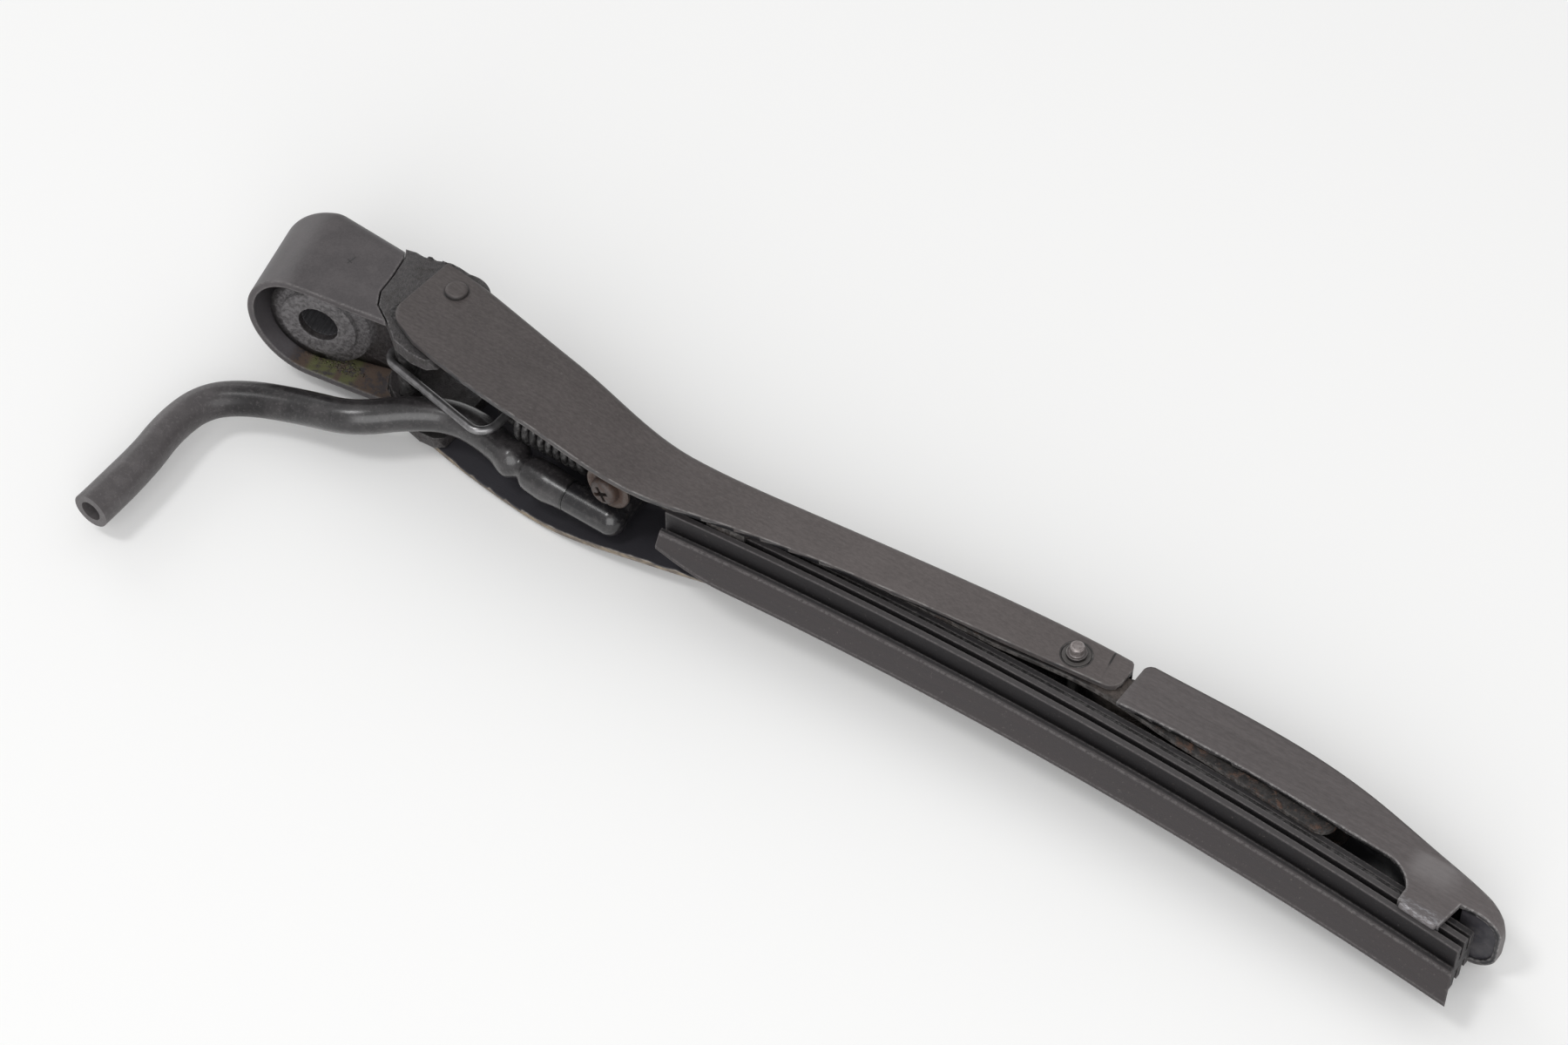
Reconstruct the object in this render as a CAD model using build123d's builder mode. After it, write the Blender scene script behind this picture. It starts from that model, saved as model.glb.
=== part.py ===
import os
from math import cos, pi, radians, sin, tan

from build123d import *

os.makedirs("parts", exist_ok=True)

# Frame: the origin is the mouth of the spindle bore. X runs along the arm, +Y along the spindle
# away from the glass, and Z across the arm. All sizes are in millimetres.

# Spindle head
bore_radius = 3.6
boss_height = 10.5
boss_floor = 1.5
collar_radius = 6.8
collar_height = 0.9
head_half_width = 10.7
cheek_thickness = 2.4
roof_top = 10.1
roof_thickness = 3.4
roof_rise = 1.5
roof_end = 19.5
cheek_drop = 11.6
spring_pin_x = 17.2
spring_pin_y = -2.8
spring_pin_radius = 2.0
pin_fit = 0.03

# Head cap
cap_wall = 1.2
cap_top = 17.0
cap_nose_centre = -2.0
cap_rim_nose_y = -0.9
cap_rim_slope = 0.18
cap_edge_radius = 3.4
seam_x = 11.7
seam_gap = 0.35
cap_gap = 0.3
boss_radius = head_half_width - cap_wall - cap_gap
cap_fall = 4.6
cap_pivot_x = 9.4
cap_pivot_y = 10.2
cap_pivot_radius = 0.8
cap_nub_length = 2.6
cap_sweep_radius = 2.85
cap_ear_radius = 1.25
cap_ear_half_width = 7.9
running_fit = 0.05

# Arm hinge, and the slope at which the unloaded arm hangs towards the glass
hinge_x = 24.4
hinge_y = 3.4
arm_slope = 16.7
hinge_rivet_radius = 1.7
hinge_head_radius = 2.0
hinge_head_height = 0.8
hinge_lug_top = 4.3
hinge_lug_radius = 2.6
cheek_lug_radius = 5.6

# Folded arm channel, in the arm's own axes from the hinge
sheet = 1.0
arm_gap = 0.3
arm_half_width = head_half_width + arm_gap + sheet
arm_length = 131.0
arm_end_half_width = 6.25
waist_start = 25.0
waist_end = 52.0
waist_half_width = 8.3
web_start = 6.0
web_start_y = 3.6
knee_x = 48.5
knee_y = -3.1
arm_end_y = 4.4
arm_end_depth = 6.9
lug_edge_x = -5.9
lug_low_radius = 4.0
wall_depth = 16.3
belly_x = 28.0
fold_radius = 1.6
corner_radius = 2.4

# Blade pivot
pivot_inset = 8.5
pivot_x = arm_length - pivot_inset
pivot_y = -0.4
pivot_pin_radius = 1.2
pivot_stub_length = 2.2
pivot_collar_radius = 1.65
pivot_collar_height = 0.6
bush_radius = 2.35
bush_fit = 0.05

# Spring, link and post
link_wire_radius = 0.75
spring_wire_radius = 0.65
spring_radius = 2.9
spring_pitch = 1.6
spring_turns = 8.75
spring_start = 19.6
loop_radius = 2.1
loop_slack = 0.1
link_hook_radius = 2.8
link_run = 19.2
link_run_slope = -10.1
link_bend_radius = 2.8
link_rise = 4.6
post_x = 36.5
post_seat_y = -7.2
post_radius = 1.3
post_head_radius = 2.0
post_head_height = 0.8

# Washer jet, its screw and washer
jet_x = 41.8
jet_z = -4.7
jet_axis_y = -13.2
jet_radius = 2.8
jet_seam_x = 33.6
spigot_radius = 1.8
spigot_length = 5.0
screw_z = 3.4
screw_boss_radius = 3.0
screw_seat_y = -13.0
screw_shank_radius = 1.25
screw_head_radius = 2.5
screw_head_height = 1.7
washer_radius = 4.2
washer_thickness = 0.8
nozzle_radius = 4.2
nozzle_height = 3.2
nozzle_neck_radius = 2.4
jet_web_depth = 3.1

# Washer hose
hose_radius = 3.1
hose_bore_radius = 1.9
hose_bends = [
    (35.5, -11.0, -4.9),
    (28.0, -8.6, -4.8),
    (20.5, -10.4, -4.75),
    (12.0, -14.8, -4.9),
    (2.0, -13.3, -7.0),
    (-8.0, -13.6, -7.9),
    (-15.0, -16.2, -8.6),
    (-18.0, -23.5, -8.6),
    (-18.8, -33.0, -8.6),
    (-21.9, -44.8, -8.6),
]

# Blade rubber, in the arm's axes
rubber_start = pivot_x - 70.3
rubber_end = pivot_x + 73.3
lip_overhang = 2.0
bow_x = pivot_x + 3.5
bow_rise = 0.7
bow_radius = 770.0
lip_y = -16.3
lip_half = 0.35
shoulder_y = -12.3
shoulder_half = 2.1
shoulder_thickness = 0.7
neck_half = 0.55
fin_thickness = 1.0
fin_pitch = 2.05
lower_fin_y = -10.5
lower_fin_half = 4.8
middle_fin_half = 4.6
upper_fin_half = 3.8
spine_half = 1.1

# Rails
rail_inset = 1.5
rail_start = rubber_start + rail_inset
rail_end = rubber_end - 5.0
rail_fit = 0.08
rail_half = 3.75

# Blade bridge: inner yoke and outer tip shell
blade_sheet = 0.9
yoke_half_width = 4.8
yoke_claw_half_width = 5.9
yoke_start = pivot_x - 62.5
yoke_claw_length = 7.0
yoke_claw_end = yoke_start + yoke_claw_length
yoke_end = pivot_x + 48.0
yoke_edge_y = -4.6
yoke_end_depth = -6.6
yoke_arch_y = -3.3
yoke_pivot_top = 2.0
yoke_seat = 0.15
shell_half_width = 6.0
blade_gap = 1.2
shell_start = arm_length + blade_gap
shell_length = 67.4
shell_end = shell_start + shell_length
shell_crown_y = 5.0
shell_crown_x = shell_start + 19.8
shell_edge_y = -3.7
shell_claw_length = 7.0
shell_claw_start = shell_end - 15.1
shell_claw_end = shell_claw_start + shell_claw_length
shell_nose_y = -4.1
shell_nose_edge_y = -6.2
shell_nose_radius = 4.6
claw_lip = 1.5
claw_lip_thickness = 0.6
claw_bottom = -9.3
bridge_rivet_radius = 1.3
bridge_rivet_head = 2.1
bridge_rivet_pitch = 12.0
bridge_rivet_xs = (shell_start + 14.8, shell_start + 14.8 + bridge_rivet_pitch)

# The planes that follow from those sizes
across = 40.0
arm_x_dir = Vector(cos(radians(arm_slope)), -sin(radians(arm_slope)), 0)
arm_y_dir = Vector(sin(radians(arm_slope)), cos(radians(arm_slope)), 0)
hinge = Vector(hinge_x, hinge_y, 0)
head_side = Plane.XY
head_plan = Plane(origin=(0, 0, 0), x_dir=(1, 0, 0), z_dir=(0, -1, 0))
arm_side = Plane(origin=hinge, x_dir=arm_x_dir, z_dir=(0, 0, 1))
arm_plan = Plane(origin=hinge, x_dir=arm_x_dir, z_dir=arm_y_dir * -1)
hose_start = arm_side.from_local_coords(Vector(jet_seam_x - 0.1, jet_axis_y, jet_z))
hose_straight = arm_side.from_local_coords(Vector(jet_seam_x - 9.5, jet_axis_y, jet_z))
hose_route = [hose_start, hose_straight] + [Vector(*spot) for spot in hose_bends]
cheek_inner = head_half_width - cheek_thickness
spring_pin = arm_side.to_local_coords(Vector(spring_pin_x, spring_pin_y, 0))
fin_tops = [lower_fin_y + fin_thickness + step * fin_pitch for step in range(3)]
rubber_top = fin_tops[2]


def save(piece, name):
    piece.part.label = name
    export_step(piece.part, f"parts/{name}.step")


def arm_half_at(x):
    share = (x - waist_end) / (arm_length - waist_end)
    return waist_half_width + share * (arm_end_half_width - waist_half_width)


def section_at(x):
    # A plane across the arm at this distance from the hinge, with Y away from the glass
    return Plane(origin=hinge + arm_x_dir * x, x_dir=(0, 0, -1), z_dir=arm_x_dir)


def arm_crown(lowered):
    # Outer face of the arm's web, or a line parallel to it below
    return [
        (web_start, web_start_y - lowered),
        (belly_x, knee_y + 2.4 - lowered),
        (knee_x, knee_y - lowered),
        (knee_x + 22, knee_y + 1.7 - lowered),
        (knee_x + 51, knee_y + 5.3 - lowered),
        (arm_length, arm_end_y - lowered),
    ]


def channel_plan(inset):
    # Outline of the arm seen along the spindle: half of it is drawn, then mirrored
    reach = across if inset else 0
    left = lug_edge_x - 1 - reach
    right = arm_length + reach
    with BuildSketch() as outline:
        with BuildLine():
            straight = Line((left, arm_half_width - inset), (waist_start, arm_half_width - inset))
            waist = Spline(
                straight @ 1,
                (waist_end, waist_half_width - inset),
                tangents=[(1, 0), (arm_length - waist_end, arm_end_half_width - waist_half_width)],
            )
            taper = Line(waist @ 1, (right, arm_half_at(right) - inset))
            Polyline(taper @ 1, (right, 0), (left, 0), straight @ 0)
        make_face()
        mirror(about=Plane.XZ)
    return outline.sketch


def fold_edges(edges, web_depth):
    # The long outer corners between a channel's web and its two walls
    folds = []
    for edge in edges:
        spot = arm_side.to_local_coords(edge.center())
        if edge.length > 15 and spot.Y > web_depth and abs(spot.Z) > 3:
            folds.append(edge)
    return folds


def top_edges(edges):
    # Edges round the upper face of the cap, apart from the straight one at the seam
    rims = []
    for edge in edges:
        box = edge.bounding_box()
        if box.min.Y > cap_top - 6.5 and box.size.X > 1:
            rims.append(edge)
    return rims


def seam_line(shift, top):
    # The seam between cap and casting, from this height on the seam's back down to the rim
    rim_end = cap_rim_nose_y - cap_rim_slope * (seam_x + 3.7 + head_half_width)
    line = [
        (seam_x + 0.6 - 0.382 * (top - 9.0), top),
        (seam_x + 0.6, 9.0),
        (seam_x + 0.5, 4.5),
        (seam_x, 0.5),
        (seam_x + 0.9, -2.6),
        (seam_x + 3.7, rim_end),
    ]
    return [(x + shift, y) for x, y in line]


def cap_profile(inset):
    # Side outline of the cap; the inner one runs out through the rim and the seam
    low = across if inset else 0
    seam = seam_line(1 if inset else 0, cap_top - cap_fall - inset)
    if inset:
        seam.append((seam[-1][0], seam[-1][1] - low))
    nose = cap_nose_centre - head_half_width + inset
    top = cap_top - inset
    with BuildSketch() as outline:
        with BuildLine():
            Polyline(
                (nose - 5, cap_rim_nose_y - low),
                (nose - 5, top),
                (cap_nose_centre, top),
                *seam,
                close=True,
            )
        make_face()
    return outline.sketch


def cap_plan(inset):
    # The cap seen along the spindle: a half round nose with straight sides
    half = head_half_width - inset
    with BuildSketch() as outline:
        Rectangle(across, 2 * half, align=(Align.MIN, Align.CENTER))
        with Locations((cap_nose_centre / 2, 0)):
            Rectangle(-cap_nose_centre, 2 * half)
        with Locations((cap_nose_centre, 0)):
            Circle(half)
    return outline.sketch


def bow(x):
    # Rise of the bowed rubber over the straight line through its section
    return bow_rise - (x - bow_x) ** 2 / (2 * bow_radius)


def claw_hook(start, end):
    # Side outline of a claw's inward lip, in the groove of the bowed rubber
    ends = [(x, bow(x) + claw_bottom) for x in (start, end)]
    with BuildSketch() as outline:
        with BuildLine():
            Polyline(*ends, *[(x, y + claw_lip_thickness) for x, y in ends[::-1]], close=True)
        make_face()
    return outline.sketch


def rubber_line(start, end):
    # The bowed line along which the rubber and its rails run
    return ThreePointArc((start, bow(start)), (bow_x, bow_rise), (end, bow(end)))


def yoke_crown(lowered):
    # Outer face of the yoke's web: bare at the inner end, then under the tip shell
    hidden = [bridge_line(x) for x in (shell_start + 5.8, shell_start + 12, shell_crown_x, yoke_end)]
    line = [
        (yoke_start, -5.4),
        (yoke_start + 12, -4.3),
        (pivot_x - 34.5, -1.6),
        (pivot_x - 14.5, 1.3),
        (pivot_x - 2, yoke_pivot_top),
        (pivot_x + 8.5, 1.6),
    ]
    line += [(x, y + yoke_seat - blade_sheet) for x, y in hidden]
    return [(x, y - lowered) for x, y in line]


def bridge_line(x):
    # Height of the tip shell's outer face over the stretch that lies on the yoke
    return (x, shell_crown_y - 0.0047 * (x - shell_crown_x) ** 2 * (1 if x > shell_crown_x else 0.1))


def shell_crown(lowered):
    # Outer face of the tip shell's web, from its open end to the nose
    line = [bridge_line(shell_crown_x + 10 * step) for step in (-1, 0, 1, 2)]
    line.insert(0, bridge_line(shell_start))
    line += [(shell_end - 14.1, -0.2), (shell_end - 6.1, -2.3)]
    line += [(shell_end - 1.2 - lowered, shell_nose_y)]
    return [(x, y - lowered) for x, y in line]


def shell_plan(inset):
    # The tip shell seen along the spindle: straight sides and a round nose
    half = shell_half_width - inset
    with BuildSketch() as outline:
        with Locations((shell_end - inset, 0)):
            RectangleRounded(
                2 * shell_length,
                2 * half,
                shell_nose_radius - inset,
                align=(Align.MAX, Align.CENTER),
            )
    return outline.sketch


def yoke_plan(inset):
    # The yoke seen along the spindle: flared at its claw, then straight
    half = yoke_half_width - inset
    wide = yoke_claw_half_width - inset
    reach = across if inset else 0
    with BuildSketch() as outline:
        with BuildLine():
            Polyline(
                (yoke_start - reach, 0),
                (yoke_start - reach, wide),
                (yoke_start + yoke_claw_length, wide),
                (yoke_start + yoke_claw_length + 6, half),
                (yoke_end + reach, half),
                (yoke_end + reach, 0),
                close=True,
            )
        make_face()
        mirror(about=Plane.XZ)
    return outline.sketch


# Arm channel: one folded sheet, open towards the glass
with BuildPart() as arm_hollow:
    with BuildSketch(arm_side):
        with BuildLine():
            inner_crown = Spline(*arm_crown(sheet))
            Polyline(
                inner_crown @ 1,
                (arm_length + across, arm_end_y - sheet),
                (arm_length + across, -across),
                (-across, -across),
                (-across, across),
                (web_start, across),
                inner_crown @ 0,
            )
        make_face()
    extrude(amount=across, both=True)
    with BuildSketch(arm_plan):
        add(channel_plan(sheet))
    extrude(amount=across, both=True, mode=Mode.INTERSECT)

# The arm without its hollow: used to seat the jet against the web from both sides
with BuildPart() as arm_core:
    with BuildSketch(arm_side):
        with BuildLine():
            upper = Spline(*arm_crown(0))
            lower = Spline(*arm_crown(sheet))
            Line(upper @ 0, lower @ 0)
            Line(upper @ 1, lower @ 1)
        make_face()
    extrude(amount=across, both=True)

with BuildPart() as arm_channel:
    with BuildSketch(arm_side):
        with BuildLine():
            crown = Spline(*arm_crown(0))
            tip = Line(crown @ 1, (arm_length, arm_end_y - arm_end_depth))
            edge = Spline(
                tip @ 1,
                (knee_x + 51, -6.3),
                (knee_x + 17, -11.7),
                (knee_x - 1, -wall_depth + 0.7),
                (belly_x, -wall_depth),
                (1.2, -12.9),
            )
            Polyline(
                edge @ 1,
                (lug_edge_x, -9.9),
                (lug_edge_x + 0.4, hinge_lug_top),
                crown @ 0,
            )
        make_face()
        low_corner = vertices().sort_by(Axis.X)[-2:].sort_by(Axis.Y)[0]
        fillet(low_corner, radius=corner_radius)
        lug_corners = vertices().sort_by(Axis.X)[:2].sort_by(Axis.Y)
        fillet(lug_corners[0], radius=lug_low_radius)
        fillet(lug_corners[1], radius=hinge_lug_radius)
    extrude(amount=arm_half_width, both=True)
    with BuildSketch(arm_plan):
        add(channel_plan(0))
    extrude(amount=across, both=True, mode=Mode.INTERSECT)
    fillet(fold_edges(arm_channel.edges(), web_depth=-5), radius=fold_radius)
    add(arm_hollow.part, mode=Mode.SUBTRACT)
    with BuildSketch(arm_side):
        Circle(hinge_rivet_radius + pin_fit)
        with Locations((pivot_x, pivot_y)):
            Circle(bush_radius + bush_fit)
    extrude(amount=across, both=True, mode=Mode.SUBTRACT)
    with BuildSketch(arm_plan.offset(-across / 2)):
        with Locations((jet_x, jet_z)):
            Circle(nozzle_neck_radius + bush_fit)
        with Locations((jet_x, screw_z)):
            Circle(screw_shank_radius + bush_fit)
        with Locations((post_x, 0)):
            Circle(post_radius + bush_fit)
    extrude(amount=across, mode=Mode.SUBTRACT)
save(arm_channel, "arm_channel")

# Hinge rivets: one short rivet in each cheek, so the middle stays open for the link
with BuildPart() as hinge_rivet_upper:
    with BuildSketch(arm_side.offset(cheek_inner)):
        Circle(hinge_rivet_radius)
    extrude(amount=arm_half_width - cheek_inner)
    with BuildSketch(arm_side.offset(arm_half_width)):
        Circle(hinge_head_radius)
    extrude(amount=hinge_head_height)
    fillet(hinge_rivet_upper.edges().sort_by(Axis.Z)[-1], radius=hinge_head_height * 0.8)
save(hinge_rivet_upper, "hinge_rivet_upper")

with BuildPart() as hinge_rivet_lower:
    mirror(hinge_rivet_upper.part, about=Plane.XY)
save(hinge_rivet_lower, "hinge_rivet_lower")

# Spindle head: a bored boss, two cheeks that carry the hinge, and a short roof between them
with BuildPart() as head_casting:
    with BuildSketch(head_plan.offset(-boss_height)):
        Circle(boss_radius)
    extrude(amount=boss_height)
    with BuildSketch(head_plan):
        Circle(collar_radius)
    extrude(amount=collar_height)
    with BuildSketch(head_side):
        with BuildLine():
            Polyline(
                (0, boss_floor),
                (0, boss_height),
                (seam_x + 2, boss_height),
                (seam_x + 2, boss_floor),
                close=True,
            )
        make_face()
    extrude(amount=head_half_width - cap_wall - cap_gap, both=True)
    with BuildSketch(head_side):
        with BuildLine():
            Polyline(
                (seam_x + 1.2, roof_top - roof_thickness),
                *seam_line(seam_gap, roof_top + roof_rise)[1::-1],
                (roof_end - 4, roof_top + 0.2),
                (roof_end - 2, roof_top),
                (roof_end, roof_top + 0.3),
                (roof_end + 0.6, roof_top - roof_thickness),
                close=True,
            )
        make_face()
    extrude(amount=head_half_width, both=True)
    with BuildSketch(head_side.offset(cheek_inner), head_side.offset(-head_half_width)):
        with BuildLine():
            seam = Polyline(
                *seam_line(seam_gap, roof_top + roof_rise)[::-1],
                (roof_end - 4, roof_top + 0.2),
                (roof_end - 2, roof_top),
                (roof_end + 0.8, roof_top + 0.3),
                (roof_end + 2.7, roof_top - 0.2),
                (hinge_x, hinge_y + cheek_lug_radius),
            )
            lug = ThreePointArc(
                seam @ 1,
                (hinge_x + cheek_lug_radius * 0.8, hinge_y + cheek_lug_radius * 0.6),
                (hinge_x + cheek_lug_radius, hinge_y),
            )
            Polyline(
                lug @ 1,
                (hinge_x + 2.4, 0.8 - cheek_drop),
                (hinge_x + 0.6, -cheek_drop),
                (hinge_x - 2.4, 0.6 - cheek_drop),
                (seam_x + 6.6, -9.0),
                seam @ 0,
            )
        make_face()
    extrude(amount=cheek_thickness)
    with BuildSketch(head_side):
        with Locations((cap_pivot_x, cap_pivot_y)):
            Circle(cap_sweep_radius)
    extrude(amount=head_half_width - cap_wall - cap_gap, both=True, mode=Mode.SUBTRACT)
    with BuildSketch(head_side):
        with BuildLine():
            Polyline(
                (0, boss_floor),
                (0, boss_height),
                (cap_pivot_x - 1, boss_height),
                (cap_pivot_x, cap_pivot_y),
                (seam_x, boss_floor),
                close=True,
            )
        make_face()
    extrude(amount=head_half_width - cap_wall - cap_gap, both=True)
    with BuildSketch(head_side):
        with Locations((cap_pivot_x, cap_pivot_y)):
            Circle(cap_ear_radius)
    extrude(amount=cap_ear_half_width, both=True)
    with BuildSketch(head_plan.offset(-across)):
        Circle(bore_radius)
    extrude(amount=2 * across, mode=Mode.SUBTRACT)
    with BuildSketch(head_side):
        with Locations((hinge_x, hinge_y)):
            Circle(hinge_rivet_radius + running_fit)
        with Locations((spring_pin_x, spring_pin_y)):
            Circle(spring_pin_radius + pin_fit)
        with Locations((cap_pivot_x, cap_pivot_y)):
            Circle(cap_pivot_radius + running_fit)
    extrude(amount=across, both=True, mode=Mode.SUBTRACT)
save(head_casting, "head_casting")

# Pin across the cheeks that takes the pull of the link
with BuildPart() as head_pin:
    with BuildSketch(head_side):
        with Locations((spring_pin_x, spring_pin_y)):
            Circle(spring_pin_radius)
    extrude(amount=head_half_width, both=True)
save(head_pin, "head_pin")

# Head cap: a hollow hood over the boss that flips up on two nubs
with BuildPart() as cap_hollow:
    with BuildSketch(head_side):
        add(cap_profile(cap_wall))
    extrude(amount=across, both=True)
    with BuildSketch(head_plan):
        add(cap_plan(cap_wall))
    extrude(amount=across, both=True, mode=Mode.INTERSECT)
    fillet(top_edges(cap_hollow.edges()), radius=cap_edge_radius - cap_wall)

with BuildPart() as head_cap:
    with BuildSketch(head_side):
        add(cap_profile(0))
    extrude(amount=across, both=True)
    with BuildSketch(head_plan):
        add(cap_plan(0))
    extrude(amount=across, both=True, mode=Mode.INTERSECT)
    fillet(top_edges(head_cap.edges()), radius=cap_edge_radius)
    add(cap_hollow.part, mode=Mode.SUBTRACT)
    nub_length = cap_wall / 2 + cap_gap + cap_nub_length
    for side in (1, -1):
        with BuildSketch(head_side.offset(side * (head_half_width - cap_wall / 2))):
            with Locations((cap_pivot_x, cap_pivot_y)):
                Circle(cap_pivot_radius)
        extrude(amount=-side * nub_length)
save(head_cap, "head_cap")

# Wire link from the head's pin to the spring
with BuildPart() as spring_link:
    with BuildLine(arm_side) as link_path:
        hook = CenterArc(
            (spring_pin.X, spring_pin.Y),
            link_hook_radius,
            start_angle=60,
            arc_size=210 + link_run_slope,
        )
        run = Line(hook @ 1, hook @ 1 + (hook % 1) * link_run)
        bend = JernArc(run @ 1, run % 1, radius=link_bend_radius, arc_size=90 - link_run_slope)
        rise = Line(bend @ 1, bend @ 1 + (bend % 1) * link_rise)
        JernArc(rise @ 1, rise % 1, radius=1.7, arc_size=150)
    with BuildSketch(Plane(origin=hook @ 0, z_dir=hook % 0)):
        Circle(link_wire_radius)
    sweep(path=link_path.line)
save(spring_link, "spring_link")

# Tension spring: a close coil with a loop at each end, on the line from the pin to the post
post_seat = arm_side.from_local_coords(Vector(post_x, post_seat_y, 0))
spring_dir = (post_seat - Vector(spring_pin_x, spring_pin_y, 0)).normalized()
spring_side = Plane(origin=(spring_pin_x, spring_pin_y, 0), x_dir=spring_dir, z_dir=(0, 0, 1))
spring_loop = Plane(origin=spring_side.origin, x_dir=spring_dir, z_dir=spring_side.y_dir)
link_rise_x = arm_side.to_local_coords(link_path.line @ 1).X + 1.7 * (1 + cos(radians(30)))
coil_start = spring_start - spring_pin.X
coil_end = coil_start + spring_pitch * spring_turns
far_loop = (post_seat - Vector(spring_pin_x, spring_pin_y, 0)).length - loop_slack
near_loop = link_rise_x + 2 * loop_slack - spring_pin.X
with BuildPart() as tension_spring:
    with BuildLine() as coil:
        turns = Helix(
            pitch=spring_pitch,
            height=spring_pitch * spring_turns,
            radius=spring_radius,
            center=spring_side.from_local_coords(Vector(coil_start, 0, 0)),
            direction=spring_dir,
        )
    with BuildSketch(Plane(origin=turns @ 0, z_dir=turns % 0)):
        Circle(spring_wire_radius)
    sweep(path=coil.line, is_frenet=True)
    for start, reach, centre in (
        (turns @ 0, coil_start, near_loop),
        (turns @ 1, coil_end, far_loop),
    ):
        middle = spring_side.from_local_coords(Vector(reach, 0, 0))
        outward = spring_dir * (1 if centre > reach else -1)
        with Locations(start, middle):
            Sphere(spring_wire_radius * 1.12)
        with BuildSketch(Plane(origin=start, z_dir=middle - start)):
            Circle(spring_wire_radius * 0.9)
        extrude(amount=spring_radius)
        with BuildSketch(Plane(origin=middle, z_dir=outward)):
            Circle(spring_wire_radius * 0.9)
        extrude(amount=abs(centre - reach) - loop_radius)
        with BuildLine(spring_loop) as loop:
            turn = 0 if centre < reach else 180
            ring = CenterArc((centre, 0), loop_radius, start_angle=turn, arc_size=320)
        with BuildSketch(Plane(origin=ring @ 0, z_dir=ring % 0)):
            Circle(spring_wire_radius)
        sweep(path=loop.line)
save(tension_spring, "tension_spring")

# Post riveted in the arm's web, which holds the far end of the spring
post_top = -2.2
with BuildPart() as spring_post:
    with BuildSketch(arm_plan.offset(-post_top - 0.4)):
        with Locations((post_x, 0)):
            Circle(post_radius)
    extrude(amount=post_top - post_seat_y + 1.6)
    with BuildSketch(arm_plan.offset(1.2 - post_seat_y)):
        with Locations((post_x, 0)):
            Circle(post_head_radius)
    extrude(amount=post_head_height)
save(spring_post, "spring_post")

# Washer jet: an elbow with a hose spigot, a screw boss beside it and a nozzle outside the web
with BuildPart() as washer_jet:
    with BuildSketch(arm_plan.offset(jet_web_depth)):
        with Locations((jet_x + 0.6, jet_z)):
            Circle(nozzle_radius)
    extrude(amount=-nozzle_height)
    fillet(washer_jet.edges().filter_by(GeomType.CIRCLE).sort_by(Axis.Y)[-1], radius=1.4)
    with BuildSketch(section_at(jet_seam_x)):
        with Locations((-jet_z, jet_axis_y)):
            Circle(jet_radius)
    extrude(amount=jet_x - jet_seam_x)
    with BuildSketch(section_at(jet_seam_x)):
        with Locations((-jet_z, jet_axis_y)):
            Circle(spigot_radius)
    extrude(amount=-spigot_length)
    with Locations(arm_side.from_local_coords(Vector(jet_x, jet_axis_y, jet_z))):
        Sphere(jet_radius)
    with BuildSketch(arm_plan.offset(-jet_axis_y)):
        with Locations((jet_x, jet_z)):
            Circle(jet_radius - 0.6)
    extrude(amount=jet_axis_y + jet_web_depth)
    with BuildSketch(arm_plan.offset(-screw_seat_y)):
        with Locations((jet_x, screw_z)):
            Circle(screw_boss_radius)
    extrude(amount=screw_seat_y + jet_web_depth)
    with BuildSketch(arm_plan.offset(10)):
        with Locations((jet_x, (jet_z + screw_z) / 2)):
            Rectangle(2.4, screw_z - jet_z)
    extrude(amount=jet_web_depth - 10)
    add(arm_core.part, mode=Mode.SUBTRACT)
    with BuildSketch(arm_plan.offset(jet_web_depth + 3)):
        with Locations((jet_x, jet_z)):
            Circle(nozzle_neck_radius)
    extrude(amount=-4.5)
    with BuildSketch(arm_plan.offset(20)):
        with Locations((jet_x, screw_z)):
            Circle(screw_shank_radius + bush_fit)
    extrude(amount=-30, mode=Mode.SUBTRACT)
save(washer_jet, "washer_jet")

# Screw and washer that hold the jet
with BuildPart() as jet_washer:
    with BuildSketch(arm_plan.offset(-screw_seat_y)):
        with Locations((jet_x, screw_z)):
            Circle(washer_radius)
            Circle(screw_shank_radius + bush_fit, mode=Mode.SUBTRACT)
    extrude(amount=washer_thickness)
    chamfer(jet_washer.edges().filter_by(GeomType.CIRCLE).sort_by(SortBy.RADIUS)[-2:], length=0.2)
save(jet_washer, "jet_washer")

screw_face = -screw_seat_y + washer_thickness
with BuildPart() as jet_screw:
    with BuildSketch(arm_plan.offset(screw_face)):
        with Locations((jet_x, screw_z)):
            Circle(screw_head_radius)
    extrude(amount=screw_head_height)
    fillet(jet_screw.edges().filter_by(GeomType.CIRCLE).sort_by(Axis.Y)[0], radius=1.1)
    with BuildSketch(arm_plan.offset(screw_face)):
        with Locations((jet_x, screw_z)):
            Circle(screw_shank_radius)
    extrude(amount=1.6 - screw_face)
    with BuildSketch(arm_plan.offset(screw_face + screw_head_height)):
        with Locations(Location((jet_x, screw_z), 30)):
            Rectangle(3.0, 0.7)
            Rectangle(0.7, 3.0)
    extrude(amount=-1.1, mode=Mode.SUBTRACT)
save(jet_screw, "jet_screw")

# Bushes in the arm's walls and the pin on which the blade rocks
wall_outer = arm_half_at(pivot_x)
wall_inner = wall_outer - sheet
with BuildPart() as pivot_bush_upper:
    with BuildSketch(arm_side.offset(wall_outer)):
        with Locations((pivot_x, pivot_y)):
            Circle(bush_radius)
            Circle(pivot_pin_radius + pin_fit, mode=Mode.SUBTRACT)
    extrude(amount=yoke_half_width + 0.15 - wall_outer)
save(pivot_bush_upper, "pivot_bush_upper")

with BuildPart() as pivot_bush_lower:
    mirror(pivot_bush_upper.part, about=Plane.XY)
save(pivot_bush_lower, "pivot_bush_lower")

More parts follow.
